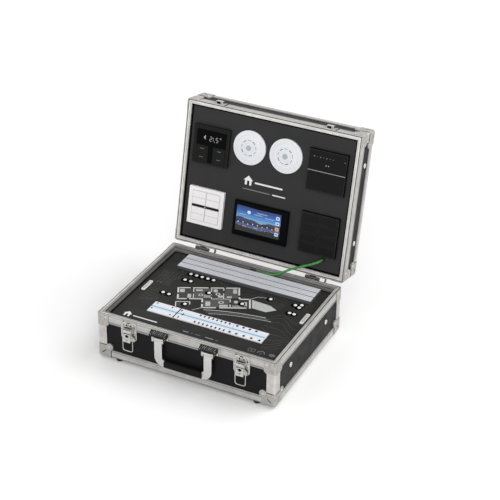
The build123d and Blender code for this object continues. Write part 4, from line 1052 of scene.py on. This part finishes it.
contours, thin = bmesh.new(), ink(-0.02)
for k in range(9):
    line = []
    for n in range(30):
        s = n / 29
        x = 128 + 84 * s
        y = 10 - 15.5 * k + 13 * sin(3.4 * s + 0.55 * k) + 7 * sin(7.1 * s - 0.8 * k)
        if x < 162 and y < -50:
            continue
        line.append((x, max(y, -165.0)))
    stroke(contours, line, 0.7, thin)
for k in range(6):
    line = [(-70 + 20 * k + 26 * n / 11, 84 - 3 * k + 10 * sin(n / 4 + k)) for n in range(12)]
    stroke(contours, line, 0.6, thin)
for k in range(7):
    for width, line in (
        (0.6, [(-206 + 9 * k + 7 * sin(n / 5 + 0.6 * k), 20 + 4.4 * n) for n in range(16)]),
        (0.5, [(60 + 4.6 * n, 96 - 9 * k + 6 * sin(n / 4 + 0.7 * k)) for n in range(18)]),
        (0.5, [(-196 + 5 * n, -10 - 8.6 * k + 5 * sin(n / 3 + 0.9 * k)) for n in range(10)]),
    ):
        stroke(contours, line, width, thin)
contour_ink = printed("contour_ink", (88, 88, 86), 0.25)
piece("contour_print", contours, BASE, "base", [contour_ink])

signs = bmesh.new()
border(signs, 149, -138, (17, 12, 2), (15.6, 10.6, 1.4), ink())
prism(signs, oval(149, -138, 2.2), ink(), 1)
arc = [(174 + 9 * cos(pi * k / 16), -142 + 10 * sin(pi * k / 16)) for k in range(17)]
stroke(signs, arc, 1.1, ink())
hoop(signs, 174, -141, 3.6, 2.6, ink(), 1)
prism(signs, oval(201, -137, 8.0, 6.0), ink(), 1)
for x, w, slot in ((-22, 15, 0), (-6, 5, 1), (10, 14, 1), (34, 10, 0), (45, 12, 0), (60, 8, 1)):
    prism(signs, rounded(x, -141, w, 2.6, 0.6), ink(), slot)
for x, y in ((-158, 93.8), (-146, 93.8), (-150, 63), (-136, 63), (-190, 26), (-182, 26)):
    hoop(signs, x, y, 2.6, 1.9, ink(), 1)
sign_inks = [printed("sign_ink", (150, 152, 154)), printed("dim_sign_ink", (100, 100, 102))]
piece("sign_print", signs, BASE, "base", sign_inks)

# A plain house sign on each panel with a bar beside it, and two more bars on the lid's panel
white_ink = printed("white_ink", (236, 236, 236), 0.04)
grey_ink = printed("grey_ink", (116, 114, 116), 0.1)
for name, place, body, slot, x, y, share in (
    ("base_house_sign", BASE, "base", "demo_board", -182.0, -136.5, 0.86),
    ("lid_house_sign", LID, "lid", "lid_board", -50.0, 198.0, 1.0),
):
    sign = bmesh.new()
    outline = ((-9, -11), (9, -11), (9, 1), (13, 1), (0, 13), (-13, 1), (-9, 1))
    prism(sign, [(x + share * a, y + share * b) for a, b in outline], ink())
    prism(sign, rounded(x, y - 5.6 * share, 6.4 * share, 10.8 * share), ink(0.03), 2)
    prism(sign, rounded(x + 56 * share, y - 2 * share, 76 * share, 4.2 * share, 1.6), ink())
    if body == "lid":
        prism(sign, rounded(x + 24, y - 22, 76, 2.8, 1.0), ink(), 1)
        prism(sign, rounded(x + 86, y - 22, 36, 2.8, 1.0), ink(), 0)
    piece(name, sign, place, body, [white_ink, grey_ink, shade_and_print_black])

# Dark rings round the lamps, a painted shadow offset down and to the left, and a painted shade
# line where each panel meets the walls
lamps = [(x, 93.8) for x in (-134.0, -118.0, -102.0, -86.0, -70.0)]
lamps += [(-134, 63), (-118, 63), (-154, -13), (-137, -14.5), (-81, -36), (-52.5, 36), (42, 28.5)]
lamps += [(94, 80), (159, 83), (173, 90), (172, 77), (173, 45), (161, 45)]
well_shadows = bmesh.new()
for x, y in lamps:
    ring(well_shadows, oval(x - 1.0, y - 1.5, 9.5), oval(x, y, 4.6), ink(0.06))
shadow_ink = printed("shadow_ink", (4, 4, 4), 0.2, specular=0.02)
piece("lamp_well_shadows", well_shadows, BASE, "base", [shadow_ink])
edge_w, edge_d = [1000 * (b - a) for a, b in zip(*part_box("demo_panel"))][:2]
for tray, place, middle in trays:
    edge = bmesh.new()
    outlines = (rounded(0, middle, edge_w - 2 * inset, edge_d - 2 * inset) for inset in (0.0, 4.5))
    ring(edge, *outlines, ink())
    piece(tray + "_edge_shade", edge, place, tray, [shadow_ink])


# Stage: a wide floor, a soft sun and an even white surround
def seen_rays(tree):
    """One for rays that show a surface to the camera, straight or by gloss or glass."""
    rays = node(tree, "LightPath").outputs
    both = maths(tree, "ADD", rays["Is Camera Ray"], rays["Is Glossy Ray"])
    return maths(tree, "ADD", both, rays["Is Transmission Ray"], use_clamp=True)


ground = bmesh.new()
bmesh.ops.create_grid(ground, x_segments=8, y_segments=8, size=30)
paper = Surface("paper", (253, 253, 253), 0.9, specular=0.0)
paper.vary(paper.noise(6.0), 0.01)
glow = remap(paper.tree, seen_rays(paper.tree), 0.0, 1.0, 0.0, 0.03)
paper.feed({"Emission Color": (1, 1, 1, 1), "Emission Strength": glow})
floor = link("floor", ground, [paper.done()])

for name, energy, width, source in (
    ("key", 1.25, 48, (0.55, 0.4, 0.75)),
    ("fill", 1.0, 40, (0.4, -0.78, 0.5)),
):
    lamp = bpy.data.lights.new(name, "SUN")
    lamp.energy = energy
    lamp.angle = radians(width)
    carrier = bpy.data.objects.new(name, lamp)
    carrier.rotation_euler = Vector(source).to_track_quat("Z", "Y").to_euler()
    scene.collection.objects.link(carrier)

world = bpy.data.worlds.new("surround")
world.use_nodes = True
scene.world = world
tree = world.node_tree
dimmer = remap(tree, seen_rays(tree), 0.0, 1.0, 0.62, 1.0)
fill(tree, tree.nodes["Background"], {"Color": (1, 1, 1, 1), "Strength": dimmer})
scene.view_settings.view_transform = "Standard"
